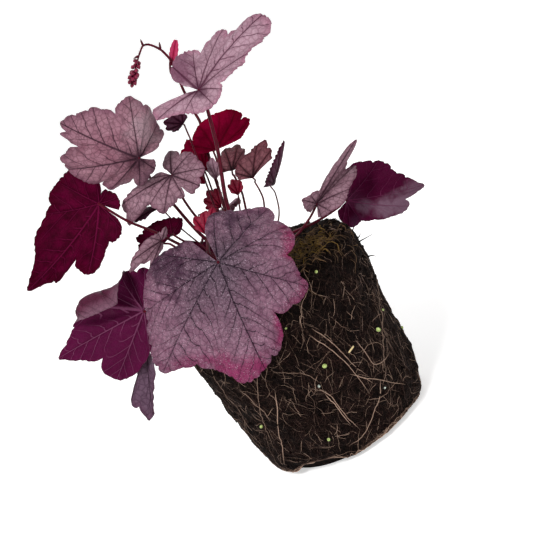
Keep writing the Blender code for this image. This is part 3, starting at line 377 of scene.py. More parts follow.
LEAVES = [
    Leaf("leaf_front", (-22, 4, 64),
         [(-28, 9, 57), (-26, 20, 38), (-10, 20, 14)],
         [(-30, 21.6, 54, 0), (-24.6, 33.6, 44, .02), (-10.2, 34.8, 40, .02), (7.8, 36.6, 40, .09),
          (19.2, 25.8, 50, 0), (24, 18, 56, .12), (25.2, 0.6, 62, .04), (31.8, -10.2, 62, 0),
          (27.6, -18.6, 62, .02), (19.8, -24.6, 62, .15), (16.8, -39, 61, 0), (15, -48.6, 60, .05),
          (6, -60, 54, 0), (-6.6, -68.4, 47, .02), (-18.6, -62.4, 46, 0), (-26.4, -60, 46, .05),
          (-44.4, -59.4, 43, 0), (-55.2, -62.4, 40, .02), (-61.2, -55.8, 40, .04),
          (-64.2, -39, 42, .03), (-65.4, -25.8, 44, 0), (-66.6, -12.6, 45, .02), (-63.6, 0, 46, 0),
          (-57, 8.4, 50, .01), (-47.4, 13.2, 54, 0), (-37.8, 16.8, 57, 0)],
         foot=(-80, 72), stalk=1.5, arch=.08, teeth=.8),
    Leaf("leaf_low_left", (-66.6, -25.2, 24),
         [(-60, -22, 31), (-44, -12, 30), (-18, 4, 14)],
         [(-58, -13, 24, .1), (-66, 1.2, 17.2, .1), (-76.8, -1, 11.3, .02),
          (-79.9, -4.5, 25.8, .02), (-82.6, -20.6, 34.5, .03), (-94, -26.5, 33.4, .03),
          (-101.4, -29.5, 30.7, .02), (-108.8, -33, 19, .03), (-110.8, -39.4, 16.6, .04),
          (-117.9, -53.4, 14, .02), (-109.8, -54.9, 13.5, 0), (-100.2, -55.2, 13, .14),
          (-90.6, -62.4, 12, 0), (-82.8, -66.3, 12, 0), (-73.2, -63.9, 13, .05),
          (-63, -50, 20, .05), (-58, -34, 24, 0)],
         foot=(-143, 50), stalk=1.2, arch=.03, teeth=.3,
         bulges={3: (-3.5, 2.6, -4), 4: (-17.7, 9, -8.5), 5: (-21.2, 8, -5.9), 6: (-20, 4, -7),
                 7: (-5.2, .8, -3.5)}),
    Leaf("leaf_hanging", (-64.5, -46, 10),
         [(-60, -36, 12), (-46, -22, 12), (-20, 0, 6)],
         [(-60.6, -55.8, 17, .02), (-61, -76, 11, .02), (-60.8, -88, 8, 0), (-64, -91, 7, .1),
          (-74.5, -81, 9, .05), (-70, -66, 5, .05), (-70.2, -53.4, 3, 0)],
         foot=(-166, 47), stalk=.9, arch=.03, teeth=.4),
    Leaf("leaf_far_left", (-93.6, 39, 12),
         [(-88, 35.5, 15), (-76, 28.5, 13), (-60, 22, 7.5), (-42, 13, 5)],
         [(-81.6, 35.4, 14, .02), (-82.2, 43.2, 12, .02), (-88.8, 47.4, 10, .5),
          (-96, 55.2, 4, .02), (-112.2, 58.8, 0, .02), (-118.2, 52.2, 1, 0),
          (-123.6, 43.8, 2, .07), (-125.4, 33, 5, 0), (-132, 18.6, 10, 0), (-131.7, 9, 12, 0),
          (-134.1, -3, 13, 0), (-136.2, -13.2, 14, .02), (-124.8, -8.7, 16, .03),
          (-118.8, -8.4, 17, 0), (-114, -3, 17, .16), (-106.8, 0, 17, 0), (-100.2, -3.6, 17, 0),
          (-91.8, 4.2, 17, 0), (-89.4, 11.4, 17, .1), (-83.4, 16.8, 17, 0), (-79.8, 23.4, 17, 0),
          (-82.2, 30, 15, 0)],
         foot=(172, 50), stalk=1.1, arch=.07, teeth=.3),
    Leaf("leaf_upper_left", (-69.6, 66.6, 34),
         [(-66.5, 61, 20), (-62, 53.5, 5), (-48.6, 38.4, 2), (-35.4, 23.4, 4)],
         [(-60.6, 66, 28, 0), (-60, 60, 24, .08), (-64.8, 52.8, 21, 0), (-69, 49.8, 18, .26),
          (-79.8, 50.7, 17, 0), (-87, 47.4, 17, 0), (-91.2, 50.4, 17, .15), (-97.2, 51, 19, 0),
          (-105, 54, 21, 0), (-112.2, 59.7, 25, .03), (-117, 66.6, 29, .02), (-112.2, 72, 30, .13),
          (-111.6, 76.8, 31, 0), (-117, 81, 32, .07), (-117, 87.6, 34, 0),
          (-112.2, 91.8, 34.5, .03), (-105, 93.9, 35, .03), (-96.6, 97.2, 36, .02),
          (-89.4, 96, 36, .12), (-82.2, 99, 35.5, 0), (-75.6, 103.8, 34.5, 0),
          (-69.6, 100.8, 33, .04), (-64.8, 98.4, 29, .05), (-58.8, 87.6, 12, .05),
          (-54.6, 81.6, 16, .17), (-59.1, 72, 25, 0)],
         foot=(160, 62), stalk=1.2, arch=.09, teeth=.7),
    Leaf("leaf_top", (-33.6, 107.4, 22),
         [(-30, 101, 17), (-22.5, 72, 12), (-17.5, 42, 9), (-10, 18, 4)],
         [(-40.2, 109.2, 20, 0), (-49.8, 114.6, 13, 0), (-49.8, 121.8, 10, 0), (-44.4, 129, 8, 0),
          (-37.2, 131.4, 7, .18), (-27, 138, 8, 0), (-19.2, 144, 11, .09), (-10.2, 144.3, 16, 0),
          (-5.4, 150, 20, .02), (4.2, 153, 26, 0), (9.6, 148.8, 30, 0), (9, 142.2, 31, .04),
          (4.2, 136.8, 33, .02), (-4.2, 129.6, 34, .02), (-6.6, 123.6, 35, .02),
          (-13.8, 117.6, 35, .2), (-19.8, 108, 32, 0), (-24.6, 98.4, 30, .03),
          (-34.8, 93.3, 29, .02), (-42.6, 93.3, 29, .02), (-53.4, 90.6, 29, .01),
          (-58.8, 89.1, 29, 0), (-61.8, 94.2, 28, .02), (-50, 101, 24, 0)],
         foot=(0, 89), stalk=1.5, arch=.05, teeth=.6),
    Leaf("leaf_under_top", (-43, 87, 4),
         [(-41, 83, 3), (-38, 76, 3), (-33, 62, 3), (-22, 32, 5)],
         [(-46, 83, 3, .1), (-49, 82, 3, .15), (-53.5, 83.5, 4, .1), (-55, 88, 5, .08),
          (-51, 93, 6, .06), (-44, 95, 7, .05), (-40.5, 91, 6, 0)],
         foot=(150, 80), stalk=.7, arch=.08),
    Leaf("leaf_red", (-24, 71.4, -6),
         [(-23.5, 67, -5), (-20, 54, -3), (-15, 32, -2)],
         [(-8.4, 78.6, -3, 0), (-5.4, 83.4, 0, .03), (-3.3, 86.4, 1, .02),
          (-3, 90, 2, 0), (-5.4, 91.2, 2, .12), (-7.8, 93.6, 1, 0), (-11.4, 95.1, 0, 0),
          (-16.2, 95.8, -4, 0), (-21.6, 93.9, -7, 0), (-28.2, 90.6, -12, 0),
          (-33.6, 86.4, -15, .02), (-37.2, 79.8, -16, .05), (-38.4, 74.4, -14, .02),
          (-37.2, 70.2, -11, 0), (-29.4, 69.6, -8, 0)],
         foot=(72, 70), stalk=.9, arch=.08, teeth=.3),
    Leaf("leaf_mottled", (-30.5, 59.5, -17),
         [(-28.5, 55, -15), (-24, 42, -11), (-18, 22, -9)],
         [(-25, 56, -13, .05), (-25, 65.5, -15, .12), (-29.5, 70.5, -19, .1),
          (-35, 81, -25, .1), (-41, 77.5, -25, .06), (-45, 69, -22, .1), (-43, 58, -17, .08),
          (-37, 51, -13, .1), (-30, 51, -12, 0)],
         foot=(100, 62), stalk=.8, arch=.06),
    Leaf("leaf_young", (-23, 54, 4),
         [(-22, 50, 6), (-18.5, 36, 9)],
         [(-25, 54.5, 2, .05), (-28, 58, 0, .08), (-29, 64, -2, .1), (-26, 67, -3, .08),
          (-22, 63, -1, .08), (-20.5, 57, 3, 0)],
         foot=(-60, 80), stalk=.6, arch=.1),
    Leaf("leaf_inner_fan", (-20, 37, 0),
         [(-19, 33, 0), (-16, 22, 0)],
         [(-24.5, 34.5, -1, .1), (-29.5, 36, -2, .14), (-31, 41, -4, .14), (-29, 47, -5, .12),
          (-23.5, 48.5, -4.5, .12), (-20, 46, -3, 0)],
         foot=(125, 70), stalk=.6, arch=.08),
    Leaf("leaf_inner_low", (-29, 20, 22),
         [(-27, 16, 20), (-20, 10, 14)],
         [(-35, 23, 20, .1), (-37, 31, 16, .12), (-31, 34.5, 13, .1), (-25, 37.5, 11, .1),
          (-21.5, 33, 14, .1), (-23, 25, 20, 0)],
         foot=(-120, 68), stalk=.7, arch=.08),
    Leaf("leaf_inner_right", (-10, 44, 1),
         [(-9.5, 39, 1), (-7, 24, 1)],
         [(-14, 45.5, 0, .1), (-16.5, 50, -2, .12), (-14, 54, -4, .1), (-9, 53.5, -4, .1),
          (-7, 48, -1, 0)],
         foot=(40, 76), stalk=.7, arch=.1),
    Leaf("leaf_round", (-13.8, 58.8, -3),
         [(-12.5, 56, -5), (-7.5, 45, -8), (-3, 24, -7)],
         [(-18.5, 58, -4, .05), (-21.5, 65.5, -6, .06), (-18.5, 72, -10, .1),
          (-10, 75, -12, .08), (-6, 72, -11, .08), (-6.5, 66.5, -8, .05), (-9, 60.5, -5, 0)],
         foot=(48, 62), stalk=.9, arch=.1, teeth=.5),
    Leaf("leaf_fan", (-1.2, 54.6, 12),
         [(0, 52, 8), (5, 42, 2), (6, 26, 0)],
         [(-9, 53.1, 10, .05), (-12, 57.6, 8, .02), (-10.2, 63.6, 7, .02), (-3.6, 69.6, 8, 0),
          (1.8, 75, 10, .02), (6.6, 77.5, 13, .12), (10, 71.6, 17, .04),
          (10.2, 66, 18, 0)],
         foot=(10, 60), stalk=.7, arch=.06, teeth=.4),
    Leaf("leaf_centre", (-49.8, 56.4, 18),
         [(-48.5, 53, 12), (-43, 42, 7), (-35.5, 31.5, 3), (-22.5, 17, -2)],
         [(-55, 61, 15, .1), (-50.5, 71, 8, .2), (-38, 70, 14, .06), (-30, 60.5, 20, .1),
          (-33, 50, 20, .05), (-37, 45, 19, .42), (-42.5, 43, 20, .08), (-49, 38, 20, .06),
          (-54.5, 33, 18, .05), (-63, 38.5, 14, .3), (-75.5, 26, 5, .06),
          (-80, 38.5, 7, .05), (-74, 47, 11, .04), (-63, 54, 14, .03), (-57, 58, 16, 0)],
         foot=(150, 72), stalk=1.0, arch=.08, teeth=.6, bulges={10: (-4, 1, 2)}),
    Leaf("leaf_dark_middle", (-50, 20, 4),
         [(-45, 18, 6), (-36, 13, 2), (-22, 5, -5)],
         [(-46, 21, 3, .04), (-43.5, 26, 0, .05), (-44, 30.5, -3, .04), (-51.5, 30.5, -5, .05),
          (-60.5, 28, -5, .05), (-66.5, 24, -4, .08), (-71.5, 18.5, -2, .08),
          (-70, 12, 2, .05), (-60, 11.5, 4, 0)],
         foot=(152, 50), stalk=.9, arch=.05, teeth=.5),
    Leaf("leaf_folded", (-58, 36, 2),
         [(-54, 34, -7), (-44, 24, -13), (-24, 8, -10)],
         [(-66, 30, 3, .05), (-72.5, 28, 1, .05), (-69.5, 33.5, -1, .04),
          (-62, 37.5, -1, 0)],
         foot=(136, 47), stalk=.6, arch=.08),
    Leaf("leaf_small_silver", (-55.8, 16.8, 14),
         [(-51, 15, 12), (-44, 11, 13), (-22, 4, 6)],
         [(-55, 13.5, 15, .03), (-57.5, 9, 18, .06), (-62.5, 0.5, 22, .2), (-67, 3, 22, .15),
          (-75, -2, 24, .04), (-74.5, 4, 22, .05), (-70, 11.5, 18, .04), (-64, 18.5, 14, .06),
          (-58.5, 21.5, 11, .3), (-53.5, 25.5, 8, .1), (-53, 19.5, 11, 0)],
         foot=(178, 62), stalk=.9, arch=.07, teeth=.5),
    Leaf("leaf_right_silver", (37, 39, -6),
         [(32.5, 30, -5), (24, 19.5, 1), (12, 15, 8)],
         [(33, 34, -4, .02), (29, 38, 0, .05), (28, 41.5, 0, .05), (33, 44.5, -2, .05),
          (38.5, 47, -6, .1), (43.2, 56.1, -5.2, .1), (60.8, 78.1, -1.5, .2),
          (54.4, 61, -9.5, .08), (60, 62.2, -11.4, .04), (61, 57.5, -3, .04),
          (56.5, 48, 0, .04), (54.5, 41, 1, .04),
          (45.5, 34.5, 0, .04), (38, 31, -2, 0)],
         foot=(-18, 44), stalk=1.0, arch=.06, teeth=.3),
    Leaf("leaf_right_dark", (55, 41, -20),
         [(50, 37, -13), (36, 28, -8), (14, 18, -4)],
         [(50, 35.7, -20, 0), (52.5, 28.2, -20, 0), (57, 24.9, -20, 0), (63.6, 28.5, -17, .08),
          (84.6, 32.1, -11, 0), (92.4, 37.5, -8, .12), (97.8, 46.5, -8, 0),
          (101.7, 50.4, -8, .02), (93.6, 54.2, -12, .03),
          (88.8, 57, -15, .02), (83.4, 59.1, -18, .02), (81, 62.4, -20, .02),
          (74.4, 65.1, -24, .05), (68.4, 65.1, -26, .03), (61.2, 64.2, -29, 0),
          (51.9, 55.2, -29, .02), (48.9, 45, -25, 0)],
         foot=(10, 37), stalk=1.1, arch=.07, teeth=.4),
    Leaf("leaf_narrow", (11, 50.5, -16),
         [(12, 46, -14), (14.5, 34, -10), (12, 20, -6)],
         [(5.4, 48.9, -7, 0), (6.6, 53.4, -8, 0), (8.7, 58.8, -10, 0), (11.4, 65.4, -13, 0),
          (14.4, 72, -18, 0), (17.4, 77.1, -24, 0), (15.9, 72.6, -27, 0), (13.2, 66.9, -29, 0),
          (11.7, 61.2, -29, 0), (11.7, 51, -22, 0)],
         foot=(33, 43), stalk=.6, arch=.04, teeth=.2),
    Leaf("leaf_back_left", (-22, 58, 18),
         [(-18, 48, 22), (-10, 24, 14)],
         [(-30, 60, 24, .04), (-44, 58, 18, .1), (-54, 60, 2, .12), (-52, 68, -20, .12),
          (-36, 75, -36, .12), (-20, 78, -40, .12), (-7, 75, -30, .12), (-4, 68, -12, .08),
          (-8, 63, 6, .05), (-15, 60, 14, 0)],
         foot=(114, 42), stalk=1.2, arch=.08, own_axes=True),
    Leaf("leaf_back_right", (19, 63, 0),
         [(16, 50, 7), (9, 26, 10)],
         [(14, 66, 4, .05), (4, 69, 0, .1), (0, 72, -18, .12), (8, 76, -40, .12),
          (24, 76, -50, .12), (38, 68, -42, .12), (45, 64, -24, .1), (38, 64, -10, .08),
          (28, 64, -2, 0)],
         foot=(68, 38), stalk=1.1, arch=.08, own_axes=True),
    Leaf("leaf_back_middle", (2, 42, 30),
         [(1, 34, 30), (0, 18, 16)],
         [(-6, 42, 34, .05), (-14, 50, 36, .12), (-14, 62, 30, .12), (-6, 72, 24, .12),
          (6, 73, 22, .12), (14, 64, 26, .12), (14, 50, 32, .1), (8, 43, 32, 0)],
         foot=(90, 50), stalk=1.0, arch=.1, own_axes=True),
]

CROWN_RADIUS = 20.0
CROWN_SEAT = CROWN - (0.0, 0.0, 10.0)
GAP = 0.35
print(len(LEAVES), "leaves with", sum(len(leaf.lobes) for leaf in LEAVES), "lobe tips")

# %% [markdown]
# A blade is a sheet worked out from two numbers: s counts the lobes round the rim
# and d runs from 0 at the hub to 1 at the rim. One formula gives any point of it,
# so the same few lines serve a coarse solid and a fine surface. A smooth curve
# through the tips gives the rim, and each notch pulls it in.

# %% Curves that the leaves share
TOOTH = 0.013
RUFFLE = 0.01
NOTCH_POWER = 2.2
SHORT_RIM = 13.0
LONG_RIM = 32.0


def placed(leaf, place):
    """A leaf's point in the plant's frame, from the picture or from its own axes."""
    if leaf.own_axes:
        return CROWN + np.array(place, float)
    return seen(place)


def unit(vectors):
    """Vectors scaled to length one."""
    return vectors / np.linalg.norm(vectors, axis=-1, keepdims=True)


def smooth_through(points, s):
    """A smooth curve through the points, read at s, which counts them from 0.

    Between two points it is a cubic. Its slope at a point is the mean of the two
    chords beside it, cut down to the shorter one, so it never swings past.
    """
    points = np.asarray(points, float)
    chords = np.diff(points, axis=0)
    lengths = np.linalg.norm(chords, axis=1)
    slopes = np.vstack([chords[:1], (chords[1:] + chords[:-1]) / 2, chords[-1:]])
    allowed = np.minimum(np.append(lengths, lengths[-1]), np.insert(lengths, 0, lengths[0]))
    slopes *= np.minimum(1, allowed / np.maximum(np.linalg.norm(slopes, axis=1), 1e-9))[:, None]
    start = np.clip(np.floor(s).astype(int), 0, len(points) - 2)
    x = (s - start)[..., None]
    return (points[start] * (2 * x ** 3 - 3 * x ** 2 + 1) + slopes[start] * (x ** 3 - 2 * x ** 2 + x)
            + points[start + 1] * (3 * x ** 2 - 2 * x ** 3) + slopes[start + 1] * (x ** 3 - x ** 2))


def leaf_frame(leaf):
    """The hub, the lobe tips as vectors from it, their lengths and the upper side's way."""
    hub = placed(leaf, leaf.hub)
    tips = np.array([placed(leaf, lobe[:3]) for lobe in leaf.lobes]) - hub
    upper = unit(np.cross(tips[1:], tips[:-1]).sum(axis=0))
    return hub, tips, np.linalg.norm(tips, axis=1), upper


print("curves ready; the rim of the front leaf starts at",
      smooth_through(leaf_frame(LEAVES[0])[1], np.zeros(1))[0].round(1))

# %% [markdown]
# The rim of a heuchera leaf is scalloped: each lobe carries round teeth, and each
# tooth carries smaller ones. A cosine taken without its sign gives round teeth
# with sharp dips between them, and the same cosine three times faster gives the
# small teeth. Both fade towards the hub, so the vein lines stay smooth.

# %% Fine blade surface
FINE_TOOTH = 0.38
FINE_RUFFLE = 0.5
RUFFLES_A_LOBE = 2.7
LOBE_ROUND = 12.0
MOST_ROUND = 0.8
SHALLOW_NOTCH = 0.06


def blade_points(leaf, s, d):
    """Points of the blade's middle sheet at s round the rim and d out from the hub.

    A point is the rim's vector times d, plus the vein's bulge times 4d(1 - d),
    plus a slow wave and a quick ruffle of the rim. The rim's vector turns smoothly
    from tip to tip, is cut in at each notch by a power of the distance from the
    tips, swells out between tips where there is no notch, and carries large and
    small round teeth that fade inwards.
    """
    hub, tips, reach, upper = leaf_frame(leaf)
    cuts = np.array([lobe[3] for lobe in leaf.lobes])
    bulges = leaf.arch * reach[:, None] * upper
    for lobe, (right, up, toward) in leaf.bulges.items():
        bulges[lobe] = right * RIGHT + up * UP + toward * TOWARD
    start = np.clip(np.floor(s).astype(int), 0, len(tips) - 2)
    x = s - start
    chords = np.linalg.norm(np.diff(tips, axis=0), axis=1)
    teeth = np.where(chords < SHORT_RIM, 1, np.where(chords < LONG_RIM, 3, 5))[start]
    small = teeth * np.where(chords < SHORT_RIM / 2, 1, 3)[start]
    notch = 1 - cuts[start] * (2 * np.minimum(x, 1 - x)) ** NOTCH_POWER
    bulge = np.minimum(chords ** 2 / (8 * LOBE_ROUND), MOST_ROUND) * (cuts[:-1] < SHALLOW_NOTCH)
    size = smooth_through(reach[:, None], s)[..., 0] * notch + bulge[start] * 4 * x * (1 - x)
    scallop = TOOTH * leaf.teeth * (1 - np.abs(np.cos(teeth * math.pi * x)))
    scallop = scallop + FINE_TOOTH / size * (1 - np.abs(np.cos(small * math.pi * x)))
    vectors = unit(smooth_through(tips / reach[:, None], s)) * size[..., None]
    wave = -RUFFLE * np.cos(2 * math.pi * s) * size * d ** 3
    wave = wave + FINE_RUFFLE * np.sin(2 * math.pi * RUFFLES_A_LOBE * s + len(leaf.name)) * d ** 5
    points = vectors * (d * (1 - scallop * d ** 2))[..., None]
    points = points + smooth_through(bulges, s) * (4 * d * (1 - d))[..., None]
    return hub + points + wave[..., None] * upper


def rim_columns(leaf, step):
    """Places round the rim a step apart, with every tip and notch among them."""
    chords = np.linalg.norm(np.diff(leaf_frame(leaf)[1], axis=0), axis=1)
    counts = 2 * np.ceil(np.maximum(chords / step, 4) / 2).astype(int)
    columns = [k + np.arange(count) / count for k, count in enumerate(counts)]
    return np.concatenate(columns + [[len(counts)]])


print("the front leaf's rim has", len(rim_columns(LEAVES[0], 1.3)), "places")

# %% [markdown]
# Veins rule both the colour and the relief of a heuchera leaf. One main vein runs
# from the hub to the tip of each lobe. Which tips end a lobe can be told from the
# rim alone: deep notches part the lobes, and a part that is still too wide is
# shared out by angle.

# %% Where the main veins run
DEEP_NOTCH = 0.08
MAIN_SPREAD = math.radians(38)


def lobe_groups(leaf):
    """The stretches of rim that share a main vein, and the tip that the vein ends in.

    Deep notches part the rim first. A part that is wider than 38 degrees, seen
    from the hub, is shared out again. The main vein of a stretch goes to a far tip
    near its middle, but not to the very end of the rim, where the slit is.
    """
    _, tips, reach, _ = leaf_frame(leaf)
    last = len(tips) - 1
    heading = unit(tips)
    turns = np.arccos(np.clip((heading[1:] * heading[:-1]).sum(axis=1), -1, 1))
    bearing = np.append(0.0, np.cumsum(turns))
    cuts = [k + 0.5 for k, lobe in enumerate(leaf.lobes[:-1]) if lobe[3] >= DEEP_NOTCH and k > 0]
    ends = [0.0] + [cut for cut in cuts if cut < last - 0.6] + [float(last)]
    marks = []
    for low, high in zip(ends[:-1], ends[1:]):
        start, stop = np.interp((low, high), np.arange(last + 1), bearing)
        shares = np.linspace(start, stop, max(1, round((stop - start) / MAIN_SPREAD)) + 1)[1:-1]
        marks += [low, *(np.floor(np.interp(shares, bearing, np.arange(last + 1))) + 0.5)]
    ends = np.unique([*marks, float(last)])
    mains = []
    for low, high in zip(ends[:-1], ends[1:]):
        inside = np.arange(max(1, math.ceil(low)), min(last - 1, math.floor(high)) + 1)
        central = 1 - 0.5 * (2 * np.abs(inside - (low + high) / 2) / (high - low)) ** 2
        mains.append(inside[np.argmax(reach[inside] * central)] if len(inside) else (low + high) / 2)
    return ends, np.array(mains, float)


for leaf in LEAVES[:2]:
    print(leaf.name, "has main veins to tips", lobe_groups(leaf)[1])

# %% [markdown]
# Side veins leave the main vein at about 45 degrees towards the teeth, and the blade
# puckers up between them. All veins are worked out once, as distances, and then used
# twice: the mesh sinks along them, and the material paints them from the same
# numbers, so colour and relief can't drift apart.

# %% Distances from the veins, and their relief
SIDE_VEIN_STEP = 8.0
STEP_ACROSS = 0.72
LEAST_HALF = 3.0
SLANTS = (0.35, 1.3)
BROAD_LOBE = 14.0
MAIN_SINK = 0.9
MAIN_WIDTH = 1.5
SIDE_SINK = 0.95
SIDE_WIDTH = 0.95
PUCKER = 0.6


def vein_values(leaf, columns, depths):
    """What the veins are at both ends of every column gap, for each depth.

    Seen from its main vein a point lies x across, as a share of the stretch's half
    width, and d out. Its distance from the main vein is x times the half width
    times d. Side veins are the level lines of d (1 - c |x|), where c makes them
    leave the main vein at 45 degrees, and those of the two sides are half a step
    apart. Returned are the distance, the side-vein count, d, the millimetres
    that one count takes, and how strong the side veins are.
    """
    hub = leaf_frame(leaf)[0]
    ends, mains = lobe_groups(leaf)
    middles = (columns[1:] + columns[:-1]) / 2
    group = np.clip(np.searchsorted(ends, middles) - 1, 0, len(mains) - 1)
    side = np.where(middles < mains[group], -1.0, 1.0)
    edge = np.where(side < 0, ends[group], ends[group + 1])
    main = mains[group]
    vein = blade_points(leaf, main, np.ones(len(main))) - hub
    limb = blade_points(leaf, edge, np.ones(len(main))) - hub
    length = np.linalg.norm(vein, axis=1)
    along = (limb * vein).sum(axis=1) / length
    half = np.sqrt(np.maximum((limb ** 2).sum(axis=1) - along ** 2, LEAST_HALF ** 2))
    lean = np.clip((length - along + half) / length, *SLANTS)
    count = np.maximum(np.round(length / SIDE_VEIN_STEP), 2)
    both = np.stack([columns[:-1], columns[1:]], axis=-1)
    x = np.abs(both - main[:, None]) / np.maximum(np.abs(edge - main), 1e-6)[:, None]
    d = depths[:, None, None]
    distance = (side * half)[:, None] * x * d
    number = count[:, None] * d * (1 - lean[:, None] * x) + np.where(side < 0, 0.5, 0.0)[:, None]
    step = np.broadcast_to((STEP_ACROSS * length / count)[:, None], number.shape)
    strength = np.clip(1 - x ** 4, 0, 1) * np.clip(half / BROAD_LOBE, 0.3, 1)[:, None] + 0 * d
    return distance, number, d + 0 * x, step, strength


def vein_relief(distance, number, d, step, strength):
    """How far the blade sinks along its veins and puckers up between them, in mm."""
    side_distance = np.abs(number - np.floor(number) - 0.5) * step
    main = np.exp(-(distance / (MAIN_WIDTH - 0.8 * d)) ** 2) * (1 - 0.55 * d)
    side = np.exp(-(side_distance / SIDE_WIDTH) ** 2) * strength
    side = side * np.clip(np.abs(distance) / MAIN_WIDTH, 0, 1)
    return PUCKER - MAIN_SINK * main - SIDE_SINK * side * (1 - 0.5 * d)


print("a blade stands", PUCKER, "mm up between veins and sinks", MAIN_SINK, "mm along them")

# %% [markdown]
# Growth is never quite even, in a leaf as in soil. Random numbers on a lattice,
# joined smoothly, give such unevenness to any point in space. The leaf in front is
# the most crinkled one; the leaves that show their backs are nearly smooth.

# %% Unevenness, and how much relief each leaf has
LEAF_RELIEF = {
    # share of the vein relief, and the height of the crinkle in mm
    "leaf_front": (1.3, 0.75), "leaf_upper_left": (0.8, 0.22), "leaf_top": (0.55, 0.2),
    "leaf_far_left": (0.3, 0.1), "leaf_low_left": (0.35, 0.14), "leaf_right_dark": (0.5, 0.25),
    "leaf_red": (0.3, 0.12), "leaf_centre": (0.9, 0.2), "leaf_hanging": (0.6, 0.2)}
USUAL_RELIEF = (0.8, 0.15)
CRINKLES = [(9.0, 1.0), (4.2, 0.8), (2.2, 0.35)]
LATTICE_SIZE = 24


def lattice(points, size, seed):
    """Random numbers from -1 to 1 on a lattice of that size, joined smoothly between.

    Each of the eight corners of a cell counts by how near the point is to it, with
    the shares eased by 3x^2 - 2x^3 so that no crease shows.
    """
    table = np.random.default_rng(seed).uniform(-1, 1, (LATTICE_SIZE,) * 3)
    scaled = np.asarray(points) / size
    cell = np.floor(scaled).astype(int)
    x = scaled - cell
    x = x * x * (3 - 2 * x)
    total = 0
    for corner in np.ndindex(2, 2, 2):
        share = np.where(corner, x, 1 - x).prod(axis=-1)
        spot = (cell + corner) % LATTICE_SIZE
        total = total + share * table[spot[..., 0], spot[..., 1], spot[..., 2]]
    return total


print("a lattice read at one point:", lattice([1.0, 2.0, 3.0], 2.5, 0).round(3))

# %% [markdown]
# A mesh with several finishes is gathered piece by piece: each surface adds its
# points, its faces, the number of its finish and the values that its material
# reads. Whole arrays are added at a time, so a leaf of 40,000 triangles takes a
# blink.

# %% Gathering surfaces into one piece


class Gather:
    """Points, faces and corner values of one piece, added surface by surface."""

    def __init__(self):
        self.points = []
        self.faces = []
        self.slots = []
        self.values = {"vein": [], "span": []}
        self.count = 0

    def put(self, points):
        """Add points and return the number of the first one."""
        first = self.count
        self.points.append(points)
        self.count += len(points)
        return first

    def cover(self, faces, slot, vein=0.0, span=0.0):
        """Add faces over points already put; vein and span hold three values a corner."""
        faces = np.asarray(faces)
        self.faces.append(faces)
        self.slots.append(np.full(len(faces), slot))
        for name, value in (("vein", vein), ("span", span)):
            self.values[name].append(np.broadcast_to(value, (*faces.shape, 3)))

    def build(self, name, materials, node=None, slot=None):
        """Make the object at the origin, in metres, hang it under the root's empty, and hide its
        solid if it has one.
        """
        mesh = bpy.data.meshes.new(name)
        points = np.vstack(self.points) * MM
        faces = [face for rows in self.faces for face in rows.tolist()]
        mesh.from_pydata(points.tolist(), [], faces)
        for material in materials:
            mesh.materials.append(material)
        mesh.polygons.foreach_set("material_index", np.concatenate(self.slots).astype(np.int32))
        for key, rows in self.values.items():
            layer = mesh.attributes.new(key, "FLOAT_VECTOR", "CORNER")
            layer.data.foreach_set("vector", np.concatenate([v.reshape(-1) for v in rows]))
        mesh.shade_smooth()
        mesh.update()
        piece = bpy.data.objects.new(name, mesh)
        bpy.context.scene.collection.objects.link(piece)
        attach(piece, "root")
        if node:
            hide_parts(node)
        count = sum(len(rows) * (rows.shape[1] - 2) for rows in self.faces)
        print(name, "has", count, "triangles")
        return count


print("gatherer ready")

# %% [markdown]
# A blade has two faces and a thin edge. The middle sheet is worked out on a grid,
# sunk along the veins, and copied half a thickness up and down its own normals.
# The rows of the grid meet in one point at the hub. The leaf is thinner at the
# rim than at the hub, and a wall closes it all round.

# %% A blade with two faces
COLUMN_STEP = 1.35
ROW_STEP = 1.75
HUB_THICKNESS = 0.62
RIM_THICKNESS = 0.26
LEAST_ROWS = 12
ROW_CROWDING = 1.15
LARGE_REACH = 40.0
HUB_SINK = 0.25
EDGE_VEIN = (30.0, 0.25, 1.0)
EDGE_SPAN = (9.0, 0.0, 0.0)
UPPER, UNDER, STALK = 0, 1, 2


def grid_normals(grid):
    """Unit normals of a grid of points, from its differences along and across."""
    return unit(np.cross(np.gradient(grid, axis=1), np.gradient(grid, axis=0)) + 1e-12)


def grid_quads(rows, columns):
    """Quads of a grid whose points are numbered row by row."""
    index = np.arange(rows * columns).reshape(rows, columns)
    corners = (index[:-1, :-1], index[:-1, 1:], index[1:, 1:], index[1:, :-1])
    return np.stack(corners, axis=-1).reshape(-1, 4)


